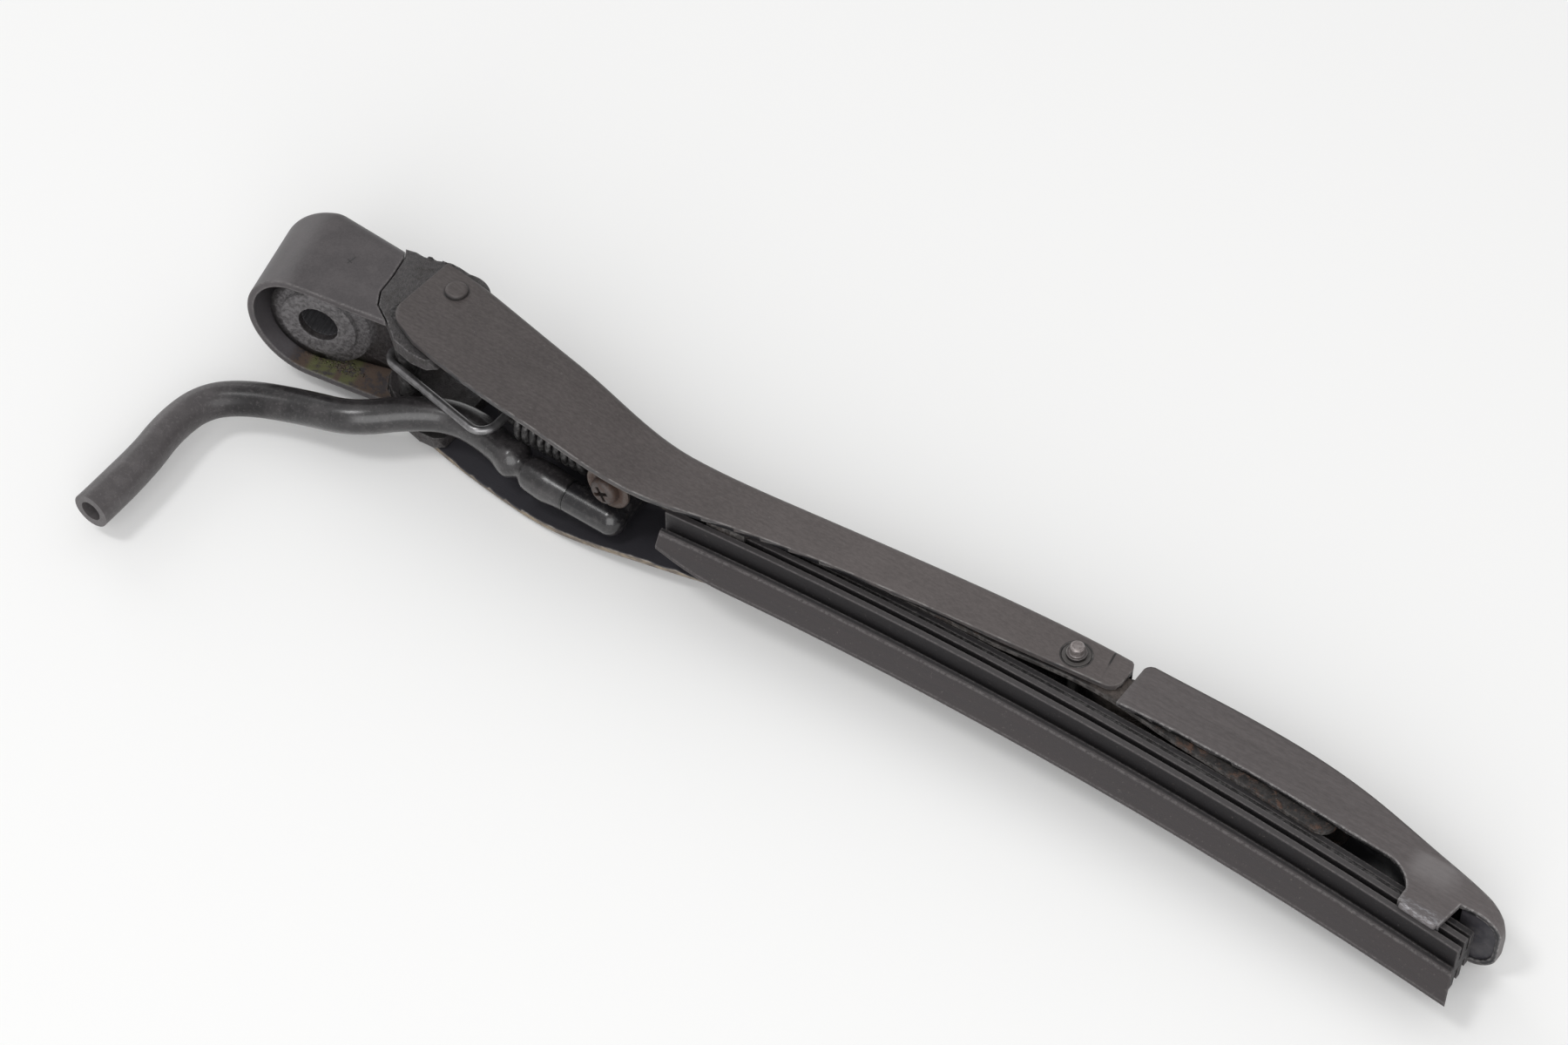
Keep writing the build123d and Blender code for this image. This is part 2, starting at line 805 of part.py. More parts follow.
with BuildPart() as blade_pivot_pin:
    with BuildSketch(arm_side.offset(-wall_outer)):
        with Locations((pivot_x, pivot_y)):
            Circle(pivot_pin_radius)
    extrude(amount=2 * wall_outer)
    for level, size, length in (
        (wall_outer, pivot_collar_radius, pivot_collar_height),
        (-wall_outer - pivot_collar_height, pivot_collar_radius, pivot_collar_height),
        (wall_outer, pivot_pin_radius - 0.05, pivot_stub_length),
    ):
        with BuildSketch(arm_side.offset(level)):
            with Locations((pivot_x, pivot_y)):
                Circle(size)
        extrude(amount=length)
    chamfer(blade_pivot_pin.edges().sort_by(Axis.Z)[-1], length=0.25)
save(blade_pivot_pin, "blade_pivot_pin")

# Rubber element: three fins over a hinged lip, swept along the bowed line of the blade
with BuildPart() as rubber_element:
    with BuildLine(arm_side) as rubber_path:
        rubber_arc = rubber_line(rubber_start, rubber_end + lip_overhang + 2)
    with BuildSketch(Plane(origin=rubber_arc @ 0, x_dir=(0, 0, -1), z_dir=rubber_arc % 0)):
        with BuildLine():
            outline = Polyline(
                (0, lip_y),
                (lip_half, lip_y),
                (shoulder_half, shoulder_y),
                (shoulder_half, shoulder_y + shoulder_thickness),
                (neck_half, shoulder_y + shoulder_thickness),
                (neck_half, lower_fin_y),
                (lower_fin_half, lower_fin_y),
                (lower_fin_half, fin_tops[0]),
                (spine_half, fin_tops[0]),
                (spine_half, fin_tops[1] - fin_thickness),
                (middle_fin_half, fin_tops[1] - fin_thickness),
                (middle_fin_half, fin_tops[1]),
                (spine_half, fin_tops[1]),
                (spine_half, fin_tops[2] - fin_thickness),
                (upper_fin_half, fin_tops[2] - fin_thickness),
                (upper_fin_half, fin_tops[2]),
                (0, fin_tops[2]),
                close=True,
            )
        make_face()
        mirror(about=Plane.YZ)
    sweep(path=rubber_path.line)
    with BuildSketch(arm_side):
        with BuildLine():
            Polyline(
                (rubber_end, across),
                (rubber_end, shoulder_y - 1.2),
                (rubber_end + lip_overhang, lip_y - 3.2),
                (rubber_end + across, lip_y - 3.2),
                (rubber_end + across, across),
                close=True,
            )
        make_face()
    extrude(amount=across, both=True, mode=Mode.SUBTRACT)
save(rubber_element, "rubber_element")

# Steel rails in the slot under the upper fin
rail_middle = (spine_half + rail_fit + rail_half) / 2
rail_y = fin_tops[1] + (fin_pitch - fin_thickness) / 2
with BuildPart() as rail_upper:
    with BuildLine(arm_side) as rail_path:
        rail_arc = rubber_line(rail_start, rail_end)
    with BuildSketch(Plane(origin=rail_arc @ 0, x_dir=(0, 0, -1), z_dir=rail_arc % 0)):
        with Locations((-rail_middle, rail_y)):
            Rectangle(rail_half - spine_half - rail_fit, fin_pitch - fin_thickness - 2 * rail_fit)
    sweep(path=rail_path.line)
save(rail_upper, "rail_upper")

with BuildPart() as rail_lower:
    mirror(rail_upper.part, about=Plane.XY)
save(rail_lower, "rail_lower")

# The strip of sheet that is the shell's web: the yoke and the rivets' heads seat on its two faces
with BuildPart() as shell_web:
    with BuildSketch(arm_side):
        with BuildLine():
            upper = Spline(*shell_crown(0))
            lower = Spline(*shell_crown(blade_sheet))
            Line(upper @ 0, lower @ 0)
            Line(upper @ 1, lower @ 1)
        make_face()
    extrude(amount=across, both=True)

# Yoke: the inner lever of the blade, folded as a channel, with a claw round the rubber
with BuildPart() as yoke_hollow:
    with BuildSketch(arm_side):
        with BuildLine():
            under = Spline(*yoke_crown(blade_sheet))
            Polyline(
                under @ 1,
                (yoke_end + across, bridge_line(yoke_end)[1] - 2 * blade_sheet),
                (yoke_end + across, -across),
                (yoke_start - across, -across),
                (yoke_start - across, yoke_crown(blade_sheet)[0][1]),
                under @ 0,
            )
        make_face()
    extrude(amount=across, both=True)
    with BuildSketch(arm_plan):
        add(yoke_plan(blade_sheet))
    extrude(amount=across, both=True, mode=Mode.INTERSECT)

with BuildPart() as blade_yoke:
    with BuildSketch(arm_side):
        with BuildLine():
            over = Spline(*yoke_crown(0))
            Polyline(
                over @ 1,
                (yoke_end, yoke_end_depth),
                (pivot_x + 29.5, yoke_edge_y - 0.6),
                (pivot_x + 20, yoke_edge_y),
            )
            arch = Spline(
                (pivot_x + 20, yoke_edge_y),
                (pivot_x + 4.5, yoke_arch_y),
                (pivot_x - 12, yoke_edge_y - 0.2),
                tangents=[(-1, 0.1), (-1, -0.1)],
            )
            Polyline(
                arch @ 1,
                (yoke_start + yoke_claw_length + 2, yoke_edge_y - 1.8),
                (yoke_claw_end, bow(yoke_claw_end) + claw_bottom),
                (yoke_start, bow(yoke_start) + claw_bottom),
                over @ 0,
            )
        make_face()
        far_corner = vertices().sort_by(Axis.X)[-2:].sort_by(Axis.Y)[0]
        fillet(far_corner, radius=2.5)
    extrude(amount=across, both=True)
    with BuildSketch(arm_plan):
        add(yoke_plan(0))
    extrude(amount=across, both=True, mode=Mode.INTERSECT)
    add(yoke_hollow.part, mode=Mode.SUBTRACT)
    add(shell_web.part, mode=Mode.SUBTRACT)
    for side in (1, -1):
        with BuildSketch(arm_side.offset(side * (yoke_claw_half_width - 2 * claw_lip))):
            add(claw_hook(yoke_start, yoke_claw_end))
        extrude(amount=side * 2 * claw_lip)
    with BuildSketch(arm_side):
        with Locations((pivot_x, pivot_y)):
            Circle(pivot_pin_radius + running_fit)
    extrude(amount=across, both=True, mode=Mode.SUBTRACT)
    with BuildSketch(arm_plan.offset(-across / 2)):
        for x in bridge_rivet_xs:
            with Locations((x, 0)):
                Circle(bridge_rivet_radius + pin_fit)
    extrude(amount=across, mode=Mode.SUBTRACT)
save(blade_yoke, "blade_yoke")

# Tip shell: the outer half of the bridge, with a claw and a nose hooked over the rubber's end
with BuildPart() as shell_hollow:
    with BuildSketch(arm_side):
        with BuildLine():
            under = Spline(*shell_crown(blade_sheet))
            Polyline(
                under @ 1,
                (shell_end - blade_sheet, shell_nose_y - 0.9 - blade_sheet),
                (shell_end - blade_sheet, -across),
                (shell_start - across, -across),
                (shell_start - across, shell_crown(blade_sheet)[0][1]),
                under @ 0,
            )
        make_face()
    extrude(amount=across, both=True)
    with BuildSketch(arm_plan):
        add(shell_plan(blade_sheet))
    extrude(amount=across, both=True, mode=Mode.INTERSECT)

with BuildPart() as blade_tip_shell:
    with BuildSketch(arm_side):
        with BuildLine():
            over = Spline(*shell_crown(0))
            Polyline(
                over @ 1,
                (shell_end, shell_nose_y - 0.9),
                (shell_end - 0.3, shell_nose_edge_y),
                (shell_claw_end + 0.8, shell_nose_edge_y - 0.2),
                (shell_claw_end, bow(shell_claw_end) + claw_bottom),
                (shell_claw_start, bow(shell_claw_start) + claw_bottom),
                (shell_claw_start, shell_edge_y - 4.7),
            )
            scoop = ThreePointArc(
                (shell_claw_start, shell_edge_y - 4.7),
                (shell_claw_start - 1.8, shell_edge_y - 2.4),
                (shell_claw_start - 6, shell_edge_y - 1.1),
            )
            skirt = Spline(
                scoop @ 1,
                (shell_start + 27.4, shell_edge_y - 0.2),
                (shell_start + 13, shell_edge_y),
                (shell_start, shell_edge_y - 0.6),
            )
            Line(skirt @ 1, over @ 0)
        make_face()
    extrude(amount=shell_half_width, both=True)
    with BuildSketch(arm_plan):
        add(shell_plan(0))
    extrude(amount=across, both=True, mode=Mode.INTERSECT)
    add(shell_hollow.part, mode=Mode.SUBTRACT)
    for side in (1, -1):
        with BuildSketch(arm_side.offset(side * (shell_half_width - 2 * claw_lip))):
            add(claw_hook(shell_claw_start, shell_claw_end))
        extrude(amount=side * 2 * claw_lip)
    with BuildSketch(arm_plan.offset(-across / 2)):
        for x in bridge_rivet_xs:
            with Locations((x, 0)):
                Circle(bridge_rivet_radius + pin_fit)
    extrude(amount=across, mode=Mode.SUBTRACT)
save(blade_tip_shell, "blade_tip_shell")

# Rivets that join the two halves of the bridge
for name, x in zip(("yoke_rivet_inner", "yoke_rivet_outer"), bridge_rivet_xs):
    top = bridge_line(x)[1]
    with BuildPart() as bridge_rivet:
        with BuildSketch(arm_plan.offset(-top)):
            with Locations((x, 0)):
                Circle(bridge_rivet_head)
        extrude(amount=-0.8, both=True)
        fillet(bridge_rivet.edges().filter_by(GeomType.CIRCLE).sort_by(Axis.Y)[-1], radius=0.5)
        with BuildSketch(arm_plan.offset(-top)):
            with Locations((x, 0)):
                Circle(2 * bridge_rivet_head)
        extrude(amount=0.8, mode=Mode.SUBTRACT)
        add(shell_web.part, mode=Mode.SUBTRACT)
        with BuildSketch(arm_plan.offset(-top - 0.3)):
            with Locations((x, 0)):
                Circle(bridge_rivet_radius)
        extrude(amount=2 * blade_sheet + 0.9)
    save(bridge_rivet, name)

# Washer hose, pushed over the spigot and led out past the head: straight runs joined by wide bends
hose_radii = []
for before, here, after in zip(hose_route, hose_route[1:], hose_route[2:]):
    turn = (here - before).get_angle(after - here)
    run = min((here - before).length, (after - here).length)
    hose_radii.append(0.45 * run / tan(radians(turn / 2)))
print("hose radii", [round(radius, 1) for radius in hose_radii])

with BuildPart() as washer_hose:
    with BuildLine() as hose_path:
        hose_line = FilletPolyline(*hose_route, radius=hose_radii)
    with BuildSketch(Plane(origin=hose_line @ 0, z_dir=hose_line % 0)):
        Circle(hose_radius)
        Circle(hose_bore_radius, mode=Mode.SUBTRACT)
    sweep(path=hose_path.line)
hose_volume = pi * (hose_radius**2 - hose_bore_radius**2) * hose_line.length
hose_share = washer_hose.part.volume / hose_volume
print("hose length", round(hose_line.length, 2), "volume share", round(hose_share, 4))
save(washer_hose, "washer_hose")
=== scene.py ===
import math
import random

import bmesh
import bpy
from mathutils import Matrix, Vector


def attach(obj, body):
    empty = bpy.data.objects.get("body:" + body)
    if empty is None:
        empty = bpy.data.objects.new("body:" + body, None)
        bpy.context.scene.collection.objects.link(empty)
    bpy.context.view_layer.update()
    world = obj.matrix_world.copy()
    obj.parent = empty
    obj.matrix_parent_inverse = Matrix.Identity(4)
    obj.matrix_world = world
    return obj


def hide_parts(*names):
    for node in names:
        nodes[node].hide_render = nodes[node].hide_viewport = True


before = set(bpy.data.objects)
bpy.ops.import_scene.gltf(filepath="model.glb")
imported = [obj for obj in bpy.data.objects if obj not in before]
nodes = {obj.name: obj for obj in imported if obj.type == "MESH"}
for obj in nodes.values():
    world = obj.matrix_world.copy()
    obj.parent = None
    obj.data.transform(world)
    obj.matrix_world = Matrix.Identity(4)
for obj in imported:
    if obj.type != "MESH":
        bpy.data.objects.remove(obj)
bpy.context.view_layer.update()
print("frame loaded:", len(nodes), "nodes")

# Places are in millimetres; sizes that go straight into an operator or a node are in metres
perMetre = 1000.0
mergeDistance = 0.000001

# The arm's own axes start at its hinge and lean with it
axisLook = {"hinge": (24.4, 3.4), "slope": math.radians(16.7)}
hingeX, hingeY = axisLook["hinge"]
cosArm, sinArm = math.cos(axisLook["slope"]), math.sin(axisLook["slope"])
armAim = Vector((cosArm, -sinArm, 0.0))
armUp = Vector((sinArm, cosArm, 0.0))


def armPoint(x, y, z=0.0):
    # From the arm's axes in millimetres to the row's frame in metres
    return Vector((hingeX + x * cosArm + y * sinArm, hingeY - x * sinArm + y * cosArm, z)) / perMetre


# The rubber is bowed: its rise over a straight line is a flat arch
bowLook = {"rise": 0.7, "top": 126.0, "spread": 1540.0}


def bowAt(along):
    # Takes a number or a socket
    return bowLook["rise"] - (along - bowLook["top"]) ** 2.0 / bowLook["spread"]


class Sock:
    # A node socket that can be added, multiplied and compared as a number
    def __init__(self, shade, socket):
        self.shade = shade
        self.socket = socket

    def maths(self, kind, other=None, first=None):
        ends = [self, other] if first is None else [first, self]
        return self.shade.make("ShaderNodeMath", ends, operation=kind)

    def __add__(self, other):
        return self.maths("ADD", other)

    def __radd__(self, other):
        return self.maths("ADD", first=other)

    def __sub__(self, other):
        return self.maths("SUBTRACT", other)

    def __rsub__(self, other):
        return self.maths("SUBTRACT", first=other)

    def __mul__(self, other):
        return self.maths("MULTIPLY", other)

    def __rmul__(self, other):
        return self.maths("MULTIPLY", first=other)

    def __truediv__(self, other):
        return self.maths("DIVIDE", other)

    def __rtruediv__(self, other):
        return self.maths("DIVIDE", first=other)

    def __pow__(self, other):
        return self.maths("POWER", other)

    def __rpow__(self, other):
        return self.maths("POWER", first=other)

    def absolute(self):
        return self.maths("ABSOLUTE")

    def larger(self, other):
        return self.maths("MAXIMUM", other)

    def ramp(self, low, high):
        # 0 below low, 1 above high, smooth between; low may be the larger one
        return self.shade.make(
            "ShaderNodeMapRange", [self, low, high, 0.0, 1.0], interpolation_type="SMOOTHSTEP"
        )

    def within(self, rise, fall):
        # 1 between a rising stretch and a falling one
        return self.ramp(*rise) * self.ramp(*fall)

    def line(self, outer, inner):
        # 1 where this is nearly 0, gone beyond outer on both sides
        return self.absolute().ramp(outer, inner)


def weigh(shares, *parts):
    # Adds parts by their shares; a part of 1.0 stands for the plain base
    total = shares[0] * parts[0]
    for share, part in zip(shares[1:], parts[1:]):
        total = total + share * part
    return total


def farFrom(middle, first, second):
    # How far a spot is from a middle, over two axes
    return ((first - middle[0]) ** 2.0 + (second - middle[1]) ** 2.0) ** 0.5


class Shade:
    # A material under construction, with one method that makes every node
    mixSockets = {"factor": 0, "first": 6, "second": 7, "result": 2}
    bevelSamples = 6

    def __init__(self, name):
        self.material = bpy.data.materials.new(name)
        self.material.use_nodes = True
        self.tree = self.material.node_tree
        self.principled = self.tree.nodes["Principled BSDF"]
        axes = self.make("ShaderNodeSeparateXYZ", [self.make("ShaderNodeTexCoord", out="Object")], out=None)
        self.x, self.y, self.z = (Sock(self, socket) * perMetre for socket in axes.outputs)
        self.side = self.z.absolute()
        self.spot = self.make("ShaderNodeCombineXYZ", [self.x, self.y, self.z])
        self.face = self.make("ShaderNodeNewGeometry", out="Normal")
        turned = self.make(
            "ShaderNodeVectorTransform", [self.face],
            vector_type="NORMAL", convert_from="WORLD", convert_to="OBJECT",
        )
        parts = self.make("ShaderNodeSeparateXYZ", [turned], out=None)
        self.normalX, self.normalY, self.normalZ = (Sock(self, socket) for socket in parts.outputs)

    def feed(self, socket, value):
        # Links a socket, or sets a number or a colour on it
        if isinstance(value, Sock):
            self.tree.links.new(value.socket, socket)
        elif value is not None:
            socket.default_value = (*value, 1.0) if socket.type == "RGBA" else value

    def make(self, kind, ins=(), out=0, **settings):
        node = self.tree.nodes.new(kind)
        for name, value in settings.items():
            setattr(node, name, value)
        for key, value in ins.items() if isinstance(ins, dict) else enumerate(ins):
            self.feed(node.inputs[key], value)
        return node if out is None else Sock(self, node.outputs[out])

    def armAxes(self):
        # Distance along the arm and height over the hinge, in millimetres
        along = (self.x - hingeX) * cosArm - (self.y - hingeY) * sinArm
        height = (self.x - hingeX) * sinArm + (self.y - hingeY) * cosArm
        return along, height

    def down(self):
        # 1 on a face that looks from the arm towards the glass
        return self.normalX * -sinArm - self.normalY * cosArm

    def outward(self):
        # 1 on the outside of a side wall, -1 on its inside
        return self.normalZ * self.z / self.side

    def noise(self, scale, detail, rough, spot=None):
        ins = {"Vector": spot or self.spot, "Scale": scale, "Detail": detail, "Roughness": rough}
        return self.make("ShaderNodeTexNoise", ins)

    def grain(self, along, height, scales, detail, rough):
        # Noise drawn out along the arm: scales are along it, up it and across it
        ends = [along * scales[0], height * scales[1], self.z * scales[2]]
        return self.noise(1.0, detail, rough, self.make("ShaderNodeCombineXYZ", ends))

    def mix(self, amount, first, second):
        # Blends two colours
        at = self.mixSockets
        ins = {at["factor"]: amount, at["first"]: first, at["second"]: second}
        return self.make("ShaderNodeMix", ins, out=at["result"], data_type="RGBA")

    def curve(self, value, length, points):
        # A value read off a drawn line through points, whose sides go from 0 to 1
        node = self.make("ShaderNodeFloatCurve", {"Value": value / length}, out=None)
        line = node.mapping.curves[0]
        line.points[0].location = points[0]
        line.points[-1].location = points[-1]
        for spot in points[1:-1]:
            line.points.new(*spot)
        node.mapping.update()
        return Sock(self, node.outputs[0])

    def bump(self, height, strength, distance, soften=0.0):
        # Relief from a height, over edges rounded by soften metres
        ins = {"Strength": strength, "Distance": distance, "Height": height}
        if soften:
            ins["Normal"] = self.make("ShaderNodeBevel", {"Radius": soften}, samples=self.bevelSamples)
        return self.make("ShaderNodeBump", ins, out="Normal")

    def edges(self, radius, faint, full):
        # A band that rises towards a sharp edge within radius metres, from a faint to a full turn of the face;
        # it carries real edge wear, and on some finishes painted edge highlights
        rounded = self.make("ShaderNodeBevel", {"Radius": radius}, samples=self.bevelSamples)
        turned = self.make("ShaderNodeVectorMath", [rounded, self.face], out="Value", operation="DOT_PRODUCT")
        return (1.0 - turned).ramp(faint, full)

    def finish(self, colour=None, rough=None, metal=None, normal=None, coat=None, **fixed):
        ends = {"Base Color": colour, "Roughness": rough, "Metallic": metal, "Normal": normal, "Coat Weight": coat}
        for key, value in [*ends.items(), *fixed.items()]:
            self.feed(self.principled.inputs[key.replace("_", " ")], value)
        return self.material


# How the finishes below are written: a noise is scale, detail and roughness; a grain is its three scales
# along, up and across the arm, then detail and roughness; edgeBand is radius, faint turn and full turn;
# relief is strength, distance and softening


def dress(material, *names):
    for name in names:
        piece = nodes[name]
        piece.data.materials.clear()
        piece.data.materials.append(material)


# Camera at the photograph's angle
cameraLook = {
    "eye": (0.2096, -0.3618, 0.4224),
    "right": (0.944, 0.331, 0.0),
    "back": (0.216, -0.618, 0.756),
    "lens": 80.0,
    "sensor": 36.0,
    "near": 0.01,
}
cameraData = bpy.data.cameras.new("camera")
cameraData.sensor_width = cameraLook["sensor"]
cameraData.sensor_fit = "HORIZONTAL"
cameraData.lens = cameraLook["lens"]
cameraData.clip_start = cameraLook["near"]
camera = bpy.data.objects.new("camera", cameraData)
bpy.context.scene.collection.objects.link(camera)
back = Vector(cameraLook["back"]).normalized()
right = Vector(cameraLook["right"]).normalized()
turn = Matrix((right, back.cross(right), back)).transposed().to_4x4()
camera.matrix_world = Matrix.Translation(cameraLook["eye"]) @ turn
bpy.context.scene.camera = camera
print("camera placed")

# Washer hose: the route of the moulded tube, as the control points of one smooth line
hoseLook = {
    "radius": 0.00308,
    "bore": 0.0019,
    "boreDepth": 4.0,  # in bores
    "sides": 40,
    "steps": 16,
    "sharp": 0.9,
    # How far the tube stands out at a distance from the jet: the swell, neck and flare of a pushed-on end
    "swell": [
        (0.0, -0.00030), (0.0015, -0.00022), (0.0045, 0.00016), (0.0080, 0.00006), (0.0102, -0.00092),
        (0.0125, 0.00028), (0.0165, -0.00014), (0.0230, -0.00014), (0.0800, -0.00002), (0.0950, 0.00022),
        (0.1100, 0.00026),
    ],
    "pushedOn": [(33.5, -13.2, -4.7), (24.1, -13.2, -4.7)],  # on the arm's axes
    "bends": [
        (35.5, -11.0, -4.9),
        (28.0, -8.6, -4.8),
        (20.5, -10.4, -4.75),
        (12.0, -14.8, -4.9),
        (2.0, -13.3, -7.0),
        (-8.0, -13.6, -7.9),
        (-15.0, -16.2, -8.6),
        (-18.0, -23.5, -8.6),
        (-18.8, -33.0, -8.6),
        (-21.9, -44.8, -8.6),
    ],
    "colour": (0.0165, 0.0150, 0.0158),
    "dust": (0.120, 0.110, 0.1120),
    "gap": (0.005, 0.005, 0.005),
    "pits": (1.9, 4.0, 0.7),
    "cloud": (0.35, 3.0, 0.55),
    "pitted": (0.5, 0.72),
    "clouded": (0.4, 0.7),
    "freeEnd": (-8.0, -17.0),
    "sleeve": (-6.0, 6.0),
    "seam": 33.35,
    "seamWidth": (0.35, 0.12),
    "seamSide": (-7.0, -9.0),
    "seamDepth": 0.9,
    "wear": (0.3, 0.2, 0.6),  # of pits, cloud and free end
    "rough": (0.25, 0.12, 0.14),  # base, cloud and free end
    "coat": (0.25, 0.7),  # base and sleeve
    "coatRough": 0.24,
    "specular": 0.2,
    "relief": (0.28, 0.0003),
}
hoseRoute = [armPoint(*spot) for spot in hoseLook["pushedOn"]]
hoseRoute += [Vector(spot) / perMetre for spot in hoseLook["bends"]]


def smoothLine(name, points, steps):
    curve = bpy.data.curves.new(name, "CURVE")
    curve.dimensions = "3D"
    curve.resolution_u = steps
    spline = curve.splines.new("NURBS")
    spline.points.add(len(points) - 1)
    for point, spot in zip(spline.points, points):
        point.co = (*spot, 1.0)
    spline.order_u = 3
    spline.use_endpoint_u = True
    piece = bpy.data.objects.new(name, curve)
    bpy.context.scene.collection.objects.link(piece)
    return piece


def linePoints(piece):
    # The points of a line's own smooth curve, before any bevel
    graph = bpy.context.evaluated_depsgraph_get()
    mesh = bpy.data.meshes.new_from_object(piece.evaluated_get(graph))
    spots = [vertex.co.copy() for vertex in mesh.vertices]
    bpy.data.meshes.remove(mesh)
    return spots


def addPiece(name, shape, body, material):
    # Turns a finished bmesh into a piece that moves with a body
    bmesh.ops.recalc_face_normals(shape, faces=shape.faces)
    mesh = bpy.data.meshes.new(name)
    shape.to_mesh(mesh)
    shape.free()
    mesh.polygons.foreach_set("use_smooth", [True] * len(mesh.polygons))
    mesh.materials.append(material)
    piece = bpy.data.objects.new(name, mesh)
    bpy.context.scene.collection.objects.link(piece)
    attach(piece, body)
    return piece


def readLine(pairs, value):
    # Reads a value off a drawn line of pairs, eased from each pair to the next
    for (lowAt, low), (highAt, high) in zip(pairs, pairs[1:]):
        if value <= highAt:
            share = (value - lowAt) / (highAt - lowAt)
            share = share * share * (3 - 2 * share)
            return low + (high - low) * share
    return pairs[-1][1]


def newVerts(made):
    return [item for item in made if isinstance(item, bmesh.types.BMVert)]


def newEdges(made):
    return [item for item in made if isinstance(item, bmesh.types.BMEdge)]


def once(items):
    # Each item one time, in the same order on every run
    return list(dict.fromkeys(items))


def hoseTube(spots, radiusAt, bore, depth, sides):
    # Rings set along the line and bridged, then turned in to an open bore at each end
    shape = bmesh.new()
    side = (spots[1] - spots[0]).orthogonal()
    gone = 0.0
    before = None
    ends = []
    for index, spot in enumerate(spots):
        ahead = (spots[min(index + 1, len(spots) - 1)] - spots[max(index - 1, 0)]).normalized()
        side = (side - ahead * side.dot(ahead)).normalized()
        place = Matrix.Translation(spot) @ Matrix((side, ahead.cross(side), ahead)).transposed().to_4x4()
        gone += (spot - spots[max(index - 1, 0)]).length
        made = bmesh.ops.create_circle(shape, segments=sides, radius=radiusAt(gone), matrix=place)
        loop = once(edge for vert in made["verts"] for edge in vert.link_edges)
        if before:
            bmesh.ops.bridge_loops(shape, edges=before + loop)
        before = loop
        if index in (0, len(spots) - 1):
            inward = ahead if index == 0 else -ahead
            ends.append((loop, spot, inward * bore * depth, bore / radiusAt(gone)))
    for loop, spot, deep, share in ends:
        for scale, shift in ((share, Vector()), (1.0, deep)):
            drawn = bmesh.ops.extrude_edge_only(shape, edges=loop)["geom"]
            verts = newVerts(drawn)
            loop = [edge for edge in newEdges(drawn) if all(vert in verts for vert in edge.verts)]
            bmesh.ops.scale(shape, vec=(scale, scale, scale), space=Matrix.Translation(-spot), verts=verts)
            bmesh.ops.translate(shape, vec=shift, verts=verts)
        bmesh.ops.edgeloop_fill(shape, edges=loop)
    return shape


hoseShade = Shade("hose")
hoseAlong, hoseHeight = hoseShade.armAxes()
hosePits = hoseShade.noise(*hoseLook["pits"])
hoseCloud = hoseShade.noise(*hoseLook["cloud"])
hoseFree = hoseShade.x.ramp(*hoseLook["freeEnd"])
hoseSleeve = hoseShade.x.ramp(*hoseLook["sleeve"])
# Painted shade: a dark ring in the seam where the hose meets the jet
hoseSeamShade = (hoseAlong - hoseLook["seam"]).line(*hoseLook["seamWidth"]) * hoseHeight.ramp(*hoseLook["seamSide"])
hosePitted, hoseClouded = hosePits.ramp(*hoseLook["pitted"]), hoseCloud.ramp(*hoseLook["clouded"])
hoseWear = weigh(hoseLook["wear"], hosePitted, hoseClouded, hoseFree)
hoseColour = hoseShade.mix(hoseWear, hoseLook["colour"], hoseLook["dust"])
hoseColour = hoseShade.mix(hoseSeamShade * hoseLook["seamDepth"], hoseColour, hoseLook["gap"])
hoseFinish = hoseShade.finish(
    hoseColour, weigh(hoseLook["rough"], 1.0, hoseCloud, hoseFree),
    normal=hoseShade.bump(hosePits, *hoseLook["relief"]), coat=weigh(hoseLook["coat"], 1.0, hoseSleeve),
    Coat_Roughness=hoseLook["coatRough"], Specular_IOR_Level=hoseLook["specular"],
)

hoseLine = smoothLine("hose_line", hoseRoute, hoseLook["steps"])
hoseSpots = linePoints(hoseLine)
bpy.data.objects.remove(hoseLine)
hoseShape = hoseTube(
    hoseSpots, lambda gone: hoseLook["radius"] + readLine(hoseLook["swell"], gone),
    hoseLook["bore"], hoseLook["boreDepth"], hoseLook["sides"],
)
hose = addPiece("hose", hoseShape, "arm", hoseFinish)
hose.data.set_sharp_from_angle(angle=hoseLook["sharp"])
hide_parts("washer_hose")

# Floor and light: a wide pale table that the part rests on, an even surround and three soft lamps
floorLook = {
    "middle": (0.047, 0.0, -0.0127),
    "fall": 0.033,
    "size": 8.0,
    "colour": (0.93, 0.93, 0.925),
    "rough": 0.95,
    "specular": 0.0,
}
floorFinish = Shade("floor").finish(
    floorLook["colour"], floorLook["rough"], Specular_IOR_Level=floorLook["specular"]
)
floorMesh = bpy.data.meshes.new("floor")
ground = bmesh.new()
bmesh.ops.create_grid(ground, x_segments=1, y_segments=1, size=floorLook["size"] / 2)
ground.to_mesh(floorMesh)
ground.free()
floor = bpy.data.objects.new("floor", floorMesh)
bpy.context.scene.collection.objects.link(floor)
floorMesh.materials.append(floorFinish)
floor.location = floorLook["middle"]
floor.rotation_euler = (0.0, -math.atan(floorLook["fall"]), 0.0)

